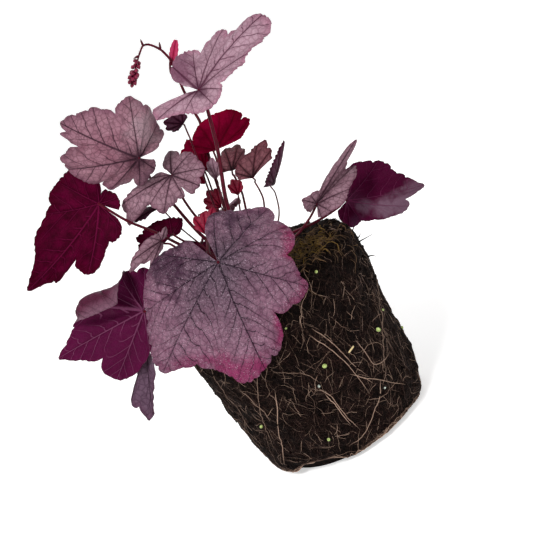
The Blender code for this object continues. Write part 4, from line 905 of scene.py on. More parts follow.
def add_blade(gather, leaf):
    """The blade of a leaf: both faces, their fans at the hub and the wall round the edge."""
    hub, _, reach, upper = leaf_frame(leaf)
    columns = rim_columns(leaf, COLUMN_STEP)
    rows = max(LEAST_ROWS, int(np.percentile(reach, 85) / ROW_STEP))
    depths = 1 - (1 - np.arange(1, rows + 1) / rows) ** ROW_CROWDING
    s, d = np.meshgrid(columns, depths)
    sheet = blade_points(leaf, s, d)
    values = vein_values(leaf, columns, depths)
    ends = vein_relief(*values)
    between = (ends[:, 1:, 0] + ends[:, :-1, 1]) / 2
    relief = np.concatenate([ends[:, :1, 0], between, ends[:, -1:, 1]], axis=1)
    normals = grid_normals(sheet)
    outward = (normals.sum(axis=(0, 1)) @ upper) > 0
    normals = normals if outward else -normals
    ribs, crinkle = LEAF_RELIEF.get(leaf.name, USUAL_RELIEF)
    relief = relief * ribs * np.clip(reach.mean() / LARGE_REACH, 0.35, 1)
    relief = relief + crinkle * sum(part * lattice(sheet, cell, 5) for cell, part in CRINKLES)
    relief = relief * np.minimum(1, 4 * (1 - d) + 0.3) * np.minimum(1, 5 * d)
    sheet = sheet + normals * relief[..., None]
    thick = (HUB_THICKNESS + (RIM_THICKNESS - HUB_THICKNESS) * np.sqrt(d))[..., None] / 2
    hub_half = upper * HUB_THICKNESS / 2
    hub = hub - HUB_SINK * upper
    per = rows * len(columns)
    top = gather.put(np.vstack([(sheet + normals * thick).reshape(-1, 3), hub + hub_half]))
    bottom = gather.put(np.vstack([(sheet - normals * thick).reshape(-1, 3), hub - hub_half]))
    corners = [np.stack([v[:-1, :, 0], v[:-1, :, 1], v[1:, :, 1], v[1:, :, 0]], axis=-1)
               for v in values]
    fan = [np.stack([v[0, :, 0] * (k not in (0, 2)), v[0, :, 0], v[0, :, 1]], axis=-1)
           for k, v in enumerate(values)]
    quads = grid_quads(rows, len(columns))
    first = np.arange(len(columns) - 1)
    tris = np.stack([np.full(len(first), per), first, first + 1], axis=-1)
    rim = per - len(columns) + np.arange(1, len(columns))
    back_up = np.arange(rows - 1, 0, -1) * len(columns) - 1
    edge = np.concatenate([[per], np.arange(rows) * len(columns), rim, back_up, [per]])
    wall = np.stack([edge[:-1] + top, edge[1:] + top, edge[1:] + bottom, edge[:-1] + bottom], axis=-1)
    for faces, parts in ((quads, corners), (tris, fan)):
        vein = np.stack(parts[:3], axis=-1).reshape(*faces.shape, 3)
        span = np.stack([*parts[3:], 0 * parts[3]], axis=-1).reshape(*faces.shape, 3)
        same, turned = slice(None), slice(None, None, -1)
        flip, back = (same, turned) if outward == (faces is quads) else (turned, same)
        gather.cover((faces + top)[:, flip], UPPER, vein[:, flip], span[:, flip])
        gather.cover((faces + bottom)[:, back], UNDER, vein[:, back], span[:, back])
    gather.cover(wall if outward else wall[:, ::-1], UPPER, EDGE_VEIN, EDGE_SPAN)


print("blades are", HUB_THICKNESS, "mm thick at the hub and", RIM_THICKNESS, "mm at the rim")

# %% [markdown]
# A stalk is a round profile carried along a path. The profile must not twist as
# the path bends, so each ring is turned just enough to stay square to the path,
# starting from the ring before. The stalk grows out of the crown with a wider
# foot and thins towards its leaf.

# %% A tube along a path
STALK_SIDES = 10
STALK_SPACING = 1.6
STALK_PLACES = (0, 0.03, 0.3, 0.97, 1)
STALK_WIDTHS = (1.3, 1.15, 0.84, 0.68, 0.5)
FOOT_LENGTH = 4.0
NECK_DROP = 2.2
NECK_REACH = 1.2
STALK_END = 0.45


def crown_foot(place):
    """The point just off the crown's dome at a bearing and a height, and the way out there."""
    bearing, height = math.radians(place[0]), math.radians(place[1])
    outward = np.array((math.cos(height) * math.cos(bearing),
                        math.cos(height) * math.sin(bearing), math.sin(height)))
    return CROWN_SEAT + (CROWN_RADIUS + GAP) * outward, outward


def ring_frames(centres):
    """Two unit vectors square to the path at each of its points, turned with the path."""
    ahead = unit(np.gradient(centres, axis=0))
    side = unit(np.cross(ahead[0], (0.31, 0.92, 0.24)))
    sides = []
    for heading in ahead:
        side = unit(side - heading * (side @ heading))
        sides.append(side)
    sides = np.array(sides)
    return ahead, sides, np.cross(ahead, sides)


def add_tube(gather, centres, radii, sides, slot, ridges=0.0, tone=0.0):
    """A closed tube: point = centre + radius (cos t side + sin t other), with a fan at each end.

    ridges lets the radius swell and shrink five times round. The corner values are
    the angle as a share, the way along as a share, and the tone.
    """
    _, side, other = ring_frames(centres)
    turn = np.arange(sides) * 2 * math.pi / sides
    reach = np.asarray(radii)[:, None] * (1 + ridges * np.cos(5 * turn))
    rings = centres[:, None] + reach[..., None] * (np.cos(turn)[:, None] * side[:, None]
                                                   + np.sin(turn)[:, None] * other[:, None])
    count = len(centres)
    first = gather.put(np.vstack([rings.reshape(-1, 3), centres[:1], centres[-1:]]))
    index = np.arange(count * sides).reshape(count, sides)
    after = np.roll(index, -1, axis=1)
    quads = np.stack([index[:-1], after[:-1], after[1:], index[1:]], axis=-1).reshape(-1, 4)
    way = np.linspace(0, 1, count)
    around = np.arange(sides + 1) / sides
    low, high = (np.meshgrid(way[part], around[part], indexing="ij")
                 for part in (slice(None, -1), slice(1, None)))
    corners = [(low[1], low[0]), (high[1], low[0]), (high[1], high[0]), (low[1], high[0])]
    vein = np.stack([np.stack([a, b, np.full(a.shape, tone)], axis=-1) for a, b in corners], axis=-2)
    gather.cover(quads + first, slot, vein.reshape(-1, 4, 3))
    start, end = count * sides, count * sides + 1
    gather.cover(cap(start, index[0], 1) + first, slot, (0.5, 0, tone))
    gather.cover(cap(end, index[-1]) + first, slot, (0.5, 1, tone))


def stalk_centres(leaf):
    """The stalk's centre line: off the crown, along its way, up into the hub."""
    hub, _, _, upper = leaf_frame(leaf)
    way = [placed(leaf, place) for place in leaf.route]
    foot, outward = crown_foot(leaf.foot)
    neck = hub - upper * NECK_DROP + NECK_REACH * unit(way[0] - hub)
    route = [foot, foot + FOOT_LENGTH * outward] + way[::-1] + [neck, hub + upper * STALK_END]
    length = np.linalg.norm(np.diff(route, axis=0), axis=1)
    counts = np.maximum(np.round(length / STALK_SPACING), 3).astype(int)
    steps = [k + np.arange(count) / count for k, count in enumerate(counts)]
    return smooth_through(route, np.concatenate(steps + [[len(route) - 1]]))


def add_stalk(gather, leaf):
    """The stalk: thick at the foot, thin at the leaf, with a small swelling under the hub."""
    centres = stalk_centres(leaf)
    way = np.linspace(0, 1, len(centres))
    radii = leaf.stalk * np.interp(way, STALK_PLACES, STALK_WIDTHS)
    add_tube(gather, centres, radii, STALK_SIDES, STALK, ridges=0.06)
    return centres, radii


print("the front leaf's stalk has", len(stalk_centres(LEAVES[0])), "rings")

# %% [markdown]
# Heuchera stalks are downy. A hair is a spike with a three-sided foot, four faces in
# all, since a plant has some thousands of them. They stand off the stalk at any
# bearing and lean a little along it.

# %% Hairs on a stalk
HAIRS_PER_MM = 2.2
HAIR_LENGTH = (0.4, 1.3)
HAIR_RADIUS = 0.035
HAIRY_PART = (0.12, 0.97)
HAIR_LEAN = 0.3
HAIR_SINK = 0.9
HAIR_FACES = np.array([(3, 1, 0), (3, 2, 1), (3, 0, 2), (1, 2, 0)])
HAIR_VALUE = (0.1, 0.5, 0.0)


def add_hairs(gather, centres, radii, seed, slot):
    """Fine hairs: foot = centre + way out + small ring, tip = centre + way out + lean along."""
    dice = np.random.default_rng(seed)
    ways = np.arange(len(centres))
    count = int(HAIRS_PER_MM * np.linalg.norm(np.diff(centres, axis=0), axis=1).sum())
    place = dice.uniform(*HAIRY_PART, count) * ways[-1]
    ahead = unit(np.gradient(centres, axis=0))
    centre, ahead = (np.stack([np.interp(place, ways, rows[:, k]) for k in range(3)], axis=-1)
                     for rows in (centres, ahead))
    side = unit(np.cross(dice.normal(size=(count, 3)), ahead))
    out = unit(np.cross(side, ahead))
    radius = np.interp(place, ways, radii)[:, None]
    long = dice.uniform(*HAIR_LENGTH, (count, 1))
    turn = np.arange(3) * 2 * math.pi / 3
    ring = (centre + HAIR_SINK * radius * out)[:, None] + HAIR_RADIUS * (
        np.cos(turn)[:, None] * side[:, None] - np.sin(turn)[:, None] * unit(ahead)[:, None])
    lean = dice.normal(HAIR_LEAN, HAIR_LEAN, (count, 1)) * long * ahead
    tip = centre + (radius + long) * out + lean
    first = gather.put(np.concatenate([ring, tip[:, None]], axis=1).reshape(-1, 3))
    starts = first + 4 * np.arange(count)
    gather.cover((starts[:, None, None] + HAIR_FACES).reshape(-1, 3), slot, HAIR_VALUE)


print("hairs are", HAIR_LENGTH[0], "to", HAIR_LENGTH[1], "mm long")

# %% [markdown]
# The colour of a leaf follows its veins. Between them lies a silver bloom, along
# them the blade is dark, and the rim is rose. A net of fine veins fills the rest:
# a Voronoi pattern read as the distance to the walls of its cells gives just such
# a net. The underside uses the same plan with burgundy and paler veins.

# %% Leaf finishes


@dataclass
class Look:
    """Colours of one face of a leaf and how strongly each part of the plan shows."""
    body: tuple
    bloom: tuple
    vein: tuple
    margin: tuple
    hub: tuple
    blooming: float = 0.8
    veining: float = 0.85
    netting: float = 0.5
    edging: float = 0.5
    shading: float = 0.5
    painted_glints: float = 0.0
    rough: float = 0.5
    reach: float = 0.42
    halo: float = 0.85
    gloss: float = 0.12
    clouds: float = 0.45
    crinkle: float = 0.35
    patches: tuple = ()


# where in the picture, radius in mm, colour, share, and how far out it starts
# On the front leaf the first two patches are painted shade, darkening its upper lobe and the blade
# left of its hub; the others are the magenta of its rim.
FRONT_RIM_PATCHES_AND_SHADE = (
    ((-12, 22, 40), 24, (62, 36, 60), .7, 0), ((-50, 2, 50), 24, (52, 22, 48), .75, 0),
    ((-12, -62, 52), 24, (148, 24, 90), .75, .72), ((16, 14, 55), 14, (156, 16, 86), .8, .8),
    ((16, -36, 61), 14, (150, 18, 88), .75, .82), ((-40, -56, 45), 18, (134, 34, 86), .6, .8),
    ((26, -14, 62), 16, (132, 28, 80), .7, .86))
# On the upper left leaf the dark patch at its hub is painted shade in the hub's hollow; the others
# are lighter and darker blotches.
BLOTCHES_AND_HUB_SHADE = (
    ((-82, 81, 25), 10, (142, 52, 74), .8, 0), ((-70, 64, 34), 9, (36, 6, 24), .7, 0),
    ((-60, 50, 22), 14, (92, 62, 80), .5, 0), ((-88, 72, 24), 24, (112, 62, 78), .5, 0),
    ((-66, 84, 30), 16, (166, 142, 150), .6, 0))
SPLIT = (
    ((66, 38, -15), 8, (104, 76, 94), .8, 0), ((77, 36, -12), 11, (110, 84, 100), .85, 0),
    ((88, 39, -10), 11, (110, 84, 100), .85, 0), ((98, 47, -9), 11, (104, 78, 94), .8, 0),
    ((60, 28, -19), 7, (78, 38, 64), .8, 0))
# On the top leaf the first patch is painted shade over its left lobe; the second darkens the blade at
# its hub.
TOP_SHADE_AND_HUB_PATCHES = (
    ((-45, 118, 12), 17, (104, 58, 82), .75, 0), ((-33, 106, 22), 9, (62, 30, 50), .6, 0))
LOW_PATCHES = (((-96, -24, 33), 16, (96, 48, 72), .8, 0),)
LOOKS = {
    "silver": Look((106, 70, 84), (160, 126, 138), (42, 14, 28),
                   (124, 76, 96), (54, 22, 36), netting=.7, halo=.35),
    # The next look is a darker copy of the silver one: painted shade for the leaf that hangs under
    # the others.
    "slate": Look((66, 38, 58), (104, 80, 98), (30, 8, 24),
                  (84, 46, 70), (40, 14, 34), netting=.6, halo=.35),
    "mauve": Look((62, 12, 36), (90, 36, 60), (40, 2, 22),
                  (140, 104, 122), (60, 10, 36), netting=.5, halo=.4),
    # The next look's patches include painted shade at the hub.
    "blotched": Look((104, 64, 78), (158, 116, 129), (38, 10, 26),
                     (118, 74, 94), (46, 16, 30), netting=.6, halo=.35,
                     patches=BLOTCHES_AND_HUB_SHADE),
    "front": Look((106, 54, 84), (172, 130, 150), (24, 8, 24),
                  (128, 66, 96), (92, 80, 92), netting=.6, edging=.35, painted_glints=1.0,
                  reach=.85, halo=.25, shading=.8, crinkle=5.0, patches=FRONT_RIM_PATCHES_AND_SHADE),
    "top": Look((140, 98, 116), (176, 146, 158), (70, 26, 48),
                (166, 106, 130), (86, 42, 64), netting=.5, halo=.3, shading=.4,
                patches=TOP_SHADE_AND_HUB_PATCHES),
    "brown": Look((84, 38, 46), (126, 80, 88), (26, 2, 10),
                  (90, 34, 48), (30, 4, 12), netting=.6, shading=.85),
    # The next look darkens the upper sides of leaves inside and behind the plant: partly painted
    # shade, partly a deeper purple of their own.
    "dusk": Look((54, 8, 32), (100, 66, 84), (28, 2, 14),
                 (72, 16, 42), (32, 2, 16), blooming=.55, gloss=.05),
    "red": Look((142, 4, 44), (142, 84, 98), (52, 2, 14),
                (128, 10, 42), (76, 2, 20), blooming=.5, gloss=.05),
    "burgundy": Look((44, 0, 15), (82, 0, 38), (106, 14, 58),
                     (66, 0, 22), (60, 0, 26), blooming=.9, veining=.55,
                     netting=.1, gloss=.02, clouds=.9),
    "plum": Look((60, 3, 36), (86, 16, 58), (134, 74, 108),
                 (84, 12, 54), (58, 0, 34), blooming=.6, veining=.5,
                 netting=.14, gloss=.03, patches=LOW_PATCHES),
    "split": Look((58, 0, 32), (70, 8, 42), (104, 40, 74),
                  (70, 10, 44), (82, 40, 66), blooming=.5, veining=.5,
                  netting=.14, gloss=.03, patches=SPLIT),
    "crimson": Look((110, 0, 33), (150, 0, 57), (80, 0, 26),
                    (124, 0, 34), (72, 0, 16), blooming=.6, veining=.4,
                    netting=.15, gloss=.02, clouds=.8),
    "pink": Look((164, 30, 72), (186, 74, 110), (120, 8, 42),
                 (172, 40, 80), (130, 6, 44), blooming=.6, netting=.2, gloss=.08),
    "rosy": Look((92, 8, 52), (126, 46, 88), (134, 70, 102),
                 (132, 26, 74), (70, 0, 36), blooming=.5, veining=.5,
                 netting=.25, gloss=.04)}
print(len(LOOKS), "looks, with", sum(len(look.patches) for look in LOOKS.values()), "patches")

# %% [markdown]
# The finish of a leaf is a chain of blends. It starts with the body's colour, lays
# the bloom over it away from the veins, then the rim, the hub and the patches, some
# of them painted shade, then the net and the veins themselves, and on the front leaf
# pale specks of painted highlight. The veins come from the distances that the mesh
# carries, so they stay sharp however near one looks.

# %% One face of a leaf
# The pale pink-white of the painted highlights on the front leaf.
GLINT_PAINT = (196, 172, 188)


def leaf_face(name, look, raised):
    """The material of one face: a chain of colour blends ruled by distances to the veins.

    raised is 1 where the veins sink and -1 where they stand up, for the bump.
    """
    material, place = new_material(name, gloss=look.gloss)
    across, number, depth = place.attribute("vein").parts()
    step, strength, _ = place.attribute("span").parts()
    slow = place.noise(0.05, 3)
    patchy = place.noise(0.16, 3)
    grain = place.noise(1.1, 3)
    aside = abs(across)
    main_width = (1 - depth) * 0.38 + 0.2
    main = 1 - aside.rise(main_width * 0.35, main_width)
    halo = 1 - aside.rise(main_width, main_width + 1.1)
    beside = abs(number.maths("FRACT", number) - 0.5) * step
    begun = depth.rise(0.03, 0.16)
    side_width = (1 - depth) * 0.2 + 0.25
    side = (1 - beside.rise(side_width * 0.4, side_width)) * strength * begun
    side_halo = (1 - beside.rise(side_width, side_width + 0.9)) * strength * begun
    wide_net = 1 - place.net(0.3).rise(0.03, 0.3)
    fine_net = 1 - place.net(0.72).rise(0.02, 0.16)
    net = wide_net.maths("MAXIMUM", wide_net, fine_net * 0.5)
    soft_net = place.net(0.3).rise(1.0, 0.1)
    dark = halo.maths("MAXIMUM", halo, side_halo * 0.75)
    bloom = (1 - dark * look.halo) * (patchy.rise(0.25, 0.7) * look.clouds + (1 - look.clouds))
    bloom = bloom * look.blooming * (1 - soft_net * 0.22)
    bloom = bloom * (1 - depth.rise(0.86, 1.0) * look.edging)
    tint = bloom.blend(look.body, look.bloom)
    tint = (depth.rise(0.8, 1.0) * look.edging * slow.rise(0.2, 0.6)).blend(tint, look.margin)
    tint = (depth.rise(look.reach, 0.0) * look.shading).blend(tint, look.hub)
    # Each patch blends a colour over a ragged round spot. Some are the leaf's own colour; on the
    # front, top and upper left leaves some are painted shade.
    for spot, radius, paint, share, start in look.patches:
        away = place.make("ShaderNodeVectorMath", {"operation": "DISTANCE"},
                         {0: place, 1: (seen(spot) * MM).tolist()}, "Value") / MM
        ragged = away + (patchy - 0.5) * radius + (slow - 0.5) * radius
        amount = ragged.rise(radius, radius * 0.3) * share
        if start:
            amount = amount * (depth + (patchy - 0.5) * 0.3).rise(start, start + 0.15)
        tint = amount.blend(tint, paint)
    tint = (net * look.netting * look.veining * (1 - depth * 0.25)).blend(tint, look.vein)
    tint = (side * look.veining).blend(tint, look.vein)
    tint = (main * look.veining).blend(tint, look.vein)
    # Pale specks on the front leaf are painted highlights: small glints scattered over its bloom.
    if look.painted_glints:
        glints = place.noise(1.5, 2, 0.7).rise(0.56, 0.72) * patchy.rise(0.3, 0.6) * look.painted_glints
        tint = glints.blend(tint, GLINT_PAINT)
    shade = (grain - 0.5) * 0.3 + (slow - 0.5) * 0.5 + 1.0
    tint = place.make("ShaderNodeVectorMath", {"operation": "SCALE"}, {0: tint, "Scale": shade})
    rough = (grain - 0.5) * 0.25 + (main * -0.08 + look.rough)
    relief = (main * 0.34 + side * 0.24 + net * 0.14) * -raised + (grain - 0.5) * 0.12
    relief = relief + place.noise(0.36, 5, 0.66) * look.crinkle
    return dress(material, tint, rough, relief)


print("leaf face ready")

# %% [markdown]
# A stalk is crimson with fine pale stripes along it, and brown where it leaves the
# crown. The mesh tells how far round and how far along each corner is, and a sine
# of the angle gives the stripes. Finishes are made once and shared by all leaves.

# %% Stalk skin, and a store of finishes
STRIPES = 44
FOOT_BROWN = (92, 44, 30)


def stalk_skin(name, deep, pale):
    """Stalk skin: fine stripes along it, paler where the light has bleached it."""
    material, place = new_material(name, gloss=0.12)
    around, way, _ = place.attribute("vein").parts()
    stripes = around.maths("SINE", around * STRIPES) * 0.5 + 0.5
    mottle = place.noise(0.3, 3)
    tint = (stripes * 0.45 + mottle.rise(0.35, 0.7) * 0.45).blend(deep, pale)
    tint = (way.rise(0.12, 0.0) * 0.6).blend(tint, FOOT_BROWN)
    return dress(material, tint, mottle * 0.2 + 0.36, stripes * 0.06 + mottle * 0.1)


FINISHES = {"crimson_stalk": stalk_skin("crimson_stalk", (48, 0, 14), (98, 4, 34))}


def finish(name):
    """A leaf face by its look and its side, or the stalk's skin, made once and shared."""
    if name not in FINISHES:
        kind, face = name.split("_")
        FINISHES[name] = leaf_face(name, LOOKS[kind], 1 if face == "upper" else -1)
    return FINISHES[name]


print("in the store:", *FINISHES)

# %% [markdown]
# Every leaf of the plant is a little different: the leaf in front is mauve with a
# magenta rim, those that turn their backs show burgundy, and the young ones in
# the middle are red. Each leaf names the look of its two faces.

# %% The leaves
# The hanging leaf and the leaves inside and behind the plant take darker looks, with part of their
# shade painted into the colour.
LEAF_LOOKS = {
    "leaf_front": ("front", "rosy"), "leaf_low_left": ("mauve", "plum"),
    "leaf_hanging": ("slate", "rosy"), "leaf_far_left": ("silver", "burgundy"),
    "leaf_upper_left": ("blotched", "burgundy"), "leaf_top": ("top", "rosy"),
    "leaf_under_top": ("dusk", "rosy"), "leaf_red": ("red", "crimson"),
    "leaf_mottled": ("red", "crimson"), "leaf_young": ("top", "crimson"),
    "leaf_inner_fan": ("red", "crimson"), "leaf_inner_low": ("red", "crimson"),
    "leaf_inner_right": ("red", "crimson"), "leaf_round": ("brown", "crimson"),
    "leaf_fan": ("brown", "rosy"), "leaf_centre": ("silver", "burgundy"),
    "leaf_dark_middle": ("dusk", "burgundy"), "leaf_folded": ("dusk", "burgundy"),
    "leaf_small_silver": ("silver", "rosy"), "leaf_right_silver": ("silver", "rosy"),
    "leaf_right_dark": ("dusk", "split"), "leaf_narrow": ("dusk", "burgundy"),
    "leaf_back_left": ("silver", "burgundy"), "leaf_back_right": ("silver", "burgundy"),
    "leaf_back_middle": ("top", "burgundy")}


def make_leaf(leaf):
    """One leaf: blade, stalk and hairs in one piece, which stands for its solid."""
    gather = Gather()
    add_blade(gather, leaf)
    centres, radii = add_stalk(gather, leaf)
    add_hairs(gather, centres, radii, len(leaf.name), STALK)
    upper, under = LEAF_LOOKS[leaf.name]
    finishes = [finish(upper + "_upper"), finish(under + "_under"), finish("crimson_stalk")]
    return gather.build(leaf.name.replace("leaf", "blade"), finishes, leaf.name)


print(sum(make_leaf(leaf) for leaf in LEAVES), "triangles of leaf in all")

# %% [markdown]
# The root ball keeps the shape that the nursery pot gave it: a tapered side, a
# foot with a rounded edge and a rough top. Its outline is a profile turned about
# the plant's axis, pushed out by slow lumps. On top of that comes crumb: the
# lattice of random numbers again, taken at four sizes and added up.

# %% The root ball's surface
BALL_PROFILE = [
    # radius, height, share of the lumps and crumb
    (9.35, 103.0, 0), (9.35, 115.0, 0), (18.5, 115.0, 0), (27.0, 115.0, .6),
    (37.0, 115.0, .8), (47.0, 114.6, .9), (56.0, 113.0, 1), (61.0, 108.5, 1),
    (62.2, 100.0, 1), (61.6, 90.0, 1), (60.8, 79.5, 1), (60.0, 68.5, 1),
    (59.3, 57.0, 1), (58.6, 46.0, 1), (58.0, 35.0, 1), (57.4, 24.0, 1),
    (56.2, 13.5, 1), (53.6, 3.4, .5), (50.0, 2.6, .3), (46.8, 2.4, .1), (46.0, 0.0, 0)]
SOIL_ROUGHNESS = 1.15
FLUTE_DEPTH = 8.0
FLUTE_ANGLE = math.radians(-120)
FLUTE_WIDTH = math.radians(15)
SKIRT_ROW = 17
CRUMBS = [(8.0, 0.8), (3.6, 0.55), (1.9, 0.4), (1.1, 0.22)]
SHOULDER_HEIGHT = 108.0
TOP_CRUMB = 0.35

profile = np.array(BALL_PROFILE)
profile_rows = np.arange(len(profile))
profile_way = np.insert(np.cumsum(np.linalg.norm(np.diff(profile[:, :2], axis=0), axis=1)), 0, 0)


def ball_surface(row, angle):
    """Points of the root ball at a place along its profile, the way out and the relief's share.

    The profile's radius and height are read between its rows, pushed out by a few
    sines of the angle and the row, and the skirt's lower edge is lifted where the
    pot had a flute.
    """
    radius, height, share = (np.interp(row, profile_rows, profile[:, k]) for k in range(3))
    before, after = (np.clip(row + half, 0, profile_rows[-1]) for half in (-0.5, 0.5))
    along_r, along_z = (np.interp(after, profile_rows, profile[:, k])
                        - np.interp(before, profile_rows, profile[:, k]) for k in range(2))
    length = np.hypot(along_r, along_z)
    out_r, out_z = -along_z / length, along_r / length
    lumps = 0.5 * np.sin(3 * angle + 0.9 * row + 0.4) + 0.4 * np.sin(7 * angle - 1.3 * row + 2.1)
    lumps = share * SOIL_ROUGHNESS * (lumps + 0.35 * np.sin(12 * angle + 2.1 * row + 4.0))
    lift = FLUTE_DEPTH * np.exp(-((angle - FLUTE_ANGLE) / FLUTE_WIDTH) ** 4)
    lift = lift * np.clip(1 - np.abs(row - SKIRT_ROW - 0.5) / 1.5, 0, 1)
    lift = lift + 0.6 * np.sin(5 * angle + 1) * np.clip(1 - np.abs(row - SKIRT_ROW), 0, 1)
    radius = radius + lumps * out_r
    height = height + lumps * out_z + lift
    points = np.stack([radius * np.cos(angle), radius * np.sin(angle), height], axis=-1)
    out = np.stack([out_r * np.cos(angle), out_r * np.sin(angle), out_z], axis=-1)
    return points, out, share


def soil_surface(way, angle):
    """The crumbly surface at a distance along the profile in mm, and the way out there."""
    angle = (angle + math.pi) % (2 * math.pi) - math.pi
    points, out, share = ball_surface(np.interp(way, profile_way, profile_rows), angle)
    relief = sum(size * lattice(points, cell, k) for k, (cell, size) in enumerate(CRUMBS))
    top = np.clip((points[..., 2] - SHOULDER_HEIGHT) / 5, 0, 1)
    return points + out * (relief * share * (1 + TOP_CRUMB * top))[..., None], out


SIDE_START, SIDE_END = profile_way[7], profile_way[17]
print("the profile is", round(profile_way[-1]), "mm long; the side runs from",
      round(SIDE_START), "to", round(SIDE_END), "mm")

# %% [markdown]
# Now the formula is read on a grid of about 1 mm by 1 mm, which is fine enough for
# crumb to cast its own small shadows. The grid is closed round the axis, and a fan
# shuts it in the crown's hole and under the foot.

# %% The root ball's mesh
PROFILE_STEP = 1.05
AROUND = 364


def make_soil():
    """The ball as a grid, 1 mm by 1 mm, with its hole and its flat foot closed by fans."""
    gather = Gather()
    inner = [np.linspace(low, high, max(1, math.ceil((high - low) / PROFILE_STEP)), endpoint=False)
             for low, high in zip(profile_way[:-1], profile_way[1:])]
    way = np.concatenate(inner + [[profile_way[-1]]])
    angle = -math.pi + np.arange(AROUND) * 2 * math.pi / AROUND
    grid, _ = soil_surface(*np.meshgrid(way, angle, indexing="ij"))
    grid[-1, :, 2] = 0
    first = gather.put(np.vstack([grid.reshape(-1, 3), (0, 0, BALL_PROFILE[0][1]), (0, 0, 0)]))
    index = first + np.arange(len(way) * AROUND).reshape(len(way), AROUND)
    hole = first + len(way) * AROUND
    gather.cover(ring_quads(index), 0)
    gather.cover(cap(hole, index[0]), 0)
    gather.cover(cap(hole + 1, index[-1], 1), 0)
    return gather


soil = make_soil()
print("the soil's grid has", soil.count, "points")

# %% [markdown]
# Wet peat is nearly black, with reddish crumbs and brown fibre in it. Two nets of
# cells, seen only where a noise lets them, give threads too fine to be modelled, and
# a few pale specks stand for grit.

# %% Peat


def peat():
    """Peat: near black with reddish crumbs, brown fibres and pale specks of grit."""
    material, place = new_material("peat", gloss=0.04)
    slow = place.noise(0.05, 3)
    crumb = place.noise(0.55, 4, 0.65)
    fine = place.noise(2.2, 3, 0.7)
    strands = place.net(0.55)
    threads = place.net(1.3)
    tint = crumb.rise(0.42, 0.75).blend((0, 0, 0), (11, 4, 5))
    tint = (slow.rise(0.42, 0.7) * crumb.rise(0.45, 0.6) * 0.5).blend(tint, (28, 8, 10))
    thread = (1 - threads.rise(0.0, 0.11)) * fine.rise(0.4, 0.62)
    tint = (thread * 0.3).blend(tint, (74, 56, 48))
    strand = (1 - strands.rise(0.0, 0.1)) * crumb.rise(0.42, 0.55)
    tint = (strand * 0.3 * slow.rise(0.35, 0.6)).blend(tint, (96, 74, 62))
    tint = (fine.rise(0.76, 0.82) * 0.6).blend(tint, (140, 122, 104))
    return dress(material, tint, fine * 0.2 + 0.72, crumb * 0.9 + fine * 0.4 + thread * 0.15)


peat_coat = peat()
soil.build("soil", [peat_coat], "root_ball")

# %% [markdown]
# Roots, moss and litter are all thin strands. Three-sided tubes are enough at this
# size, and thousands of them are worked out together, as one array of strands by
# points, which is far quicker than one after the other.

# %% Thin strands, many at a time
STRAND_TURNS = np.array([0.5, 2.6, 4.7])


def root_tubes(gather, centres, out, radii, tone, slot=0):
    """Three-sided tubes: each point = centre + radius (cos t side + sin t other), ends closed.

    centres holds roots by points by 3. The corner values are the way along and the tone.
    """
    ahead = unit(np.gradient(centres, axis=1))
    side = unit(np.cross(out, ahead) + 1e-9)
    other = np.cross(ahead, side)
    turn = STRAND_TURNS
    rings = centres[:, :, None] + radii[:, :, None, None] * (
        np.cos(turn)[:, None] * side[:, :, None] + np.sin(turn)[:, None] * other[:, :, None])
    roots, points = centres.shape[:2]
    first = gather.put(rings.reshape(-1, 3))
    index = first + np.arange(roots * points * 3).reshape(roots, points, 3)
    after = np.roll(index, -1, axis=2)
    quads = np.stack([index[:, :-1], after[:, :-1], after[:, 1:], index[:, 1:]], axis=-1)
    way = np.linspace(0, 1, points)
    value = np.zeros((roots, points - 1, 3, 4, 3))
    value[..., :2, 0] = way[:-1, None, None]
    value[..., 2:, 0] = way[1:, None, None]
    value[..., 1] = tone[:, None, None, None]
    gather.cover(quads.reshape(-1, 4), slot, value.reshape(-1, 4, 3))
    ends = np.concatenate([index[:, 0, ::-1], index[:, -1]])
    value = np.zeros((2 * roots, 3, 3))
    value[..., 1] = np.concatenate([tone, tone])[:, None]
    gather.cover(ends, slot, value)


print("a strand of nine points has", 8 * 6 + 2, "triangles")

# %% [markdown]
# Fine roots cover the ball like felt. Each wanders over the surface: it starts
# somewhere on the side, its heading drifts by small random turns, and its points
# are read from the soil's own formula, so it lies on every lump. The few strong
# roots that the photograph shows are led through named places instead.

# %% How roots run
ROOT_STEP = 1.7
ROOT_PACE = (0.75, 1.15)
HEADING_SPREAD = 0.75
LEVEL_SPREAD = 0.16
CURL = 0.05
DRIFT = 0.2
ROOT_TAPER = ((0, 0.15, 0.8, 1), (0.3, 1, 0.8, 0.15))
STRONG_TAPER = ((0, 0.1, 0.8, 1), (0.4, 1, 0.8, 0.3))
STRONG_POINTS = 26
WIGGLE = 0.12
FELT_START = SIDE_START - 14
FELT_END = SIDE_END + 1


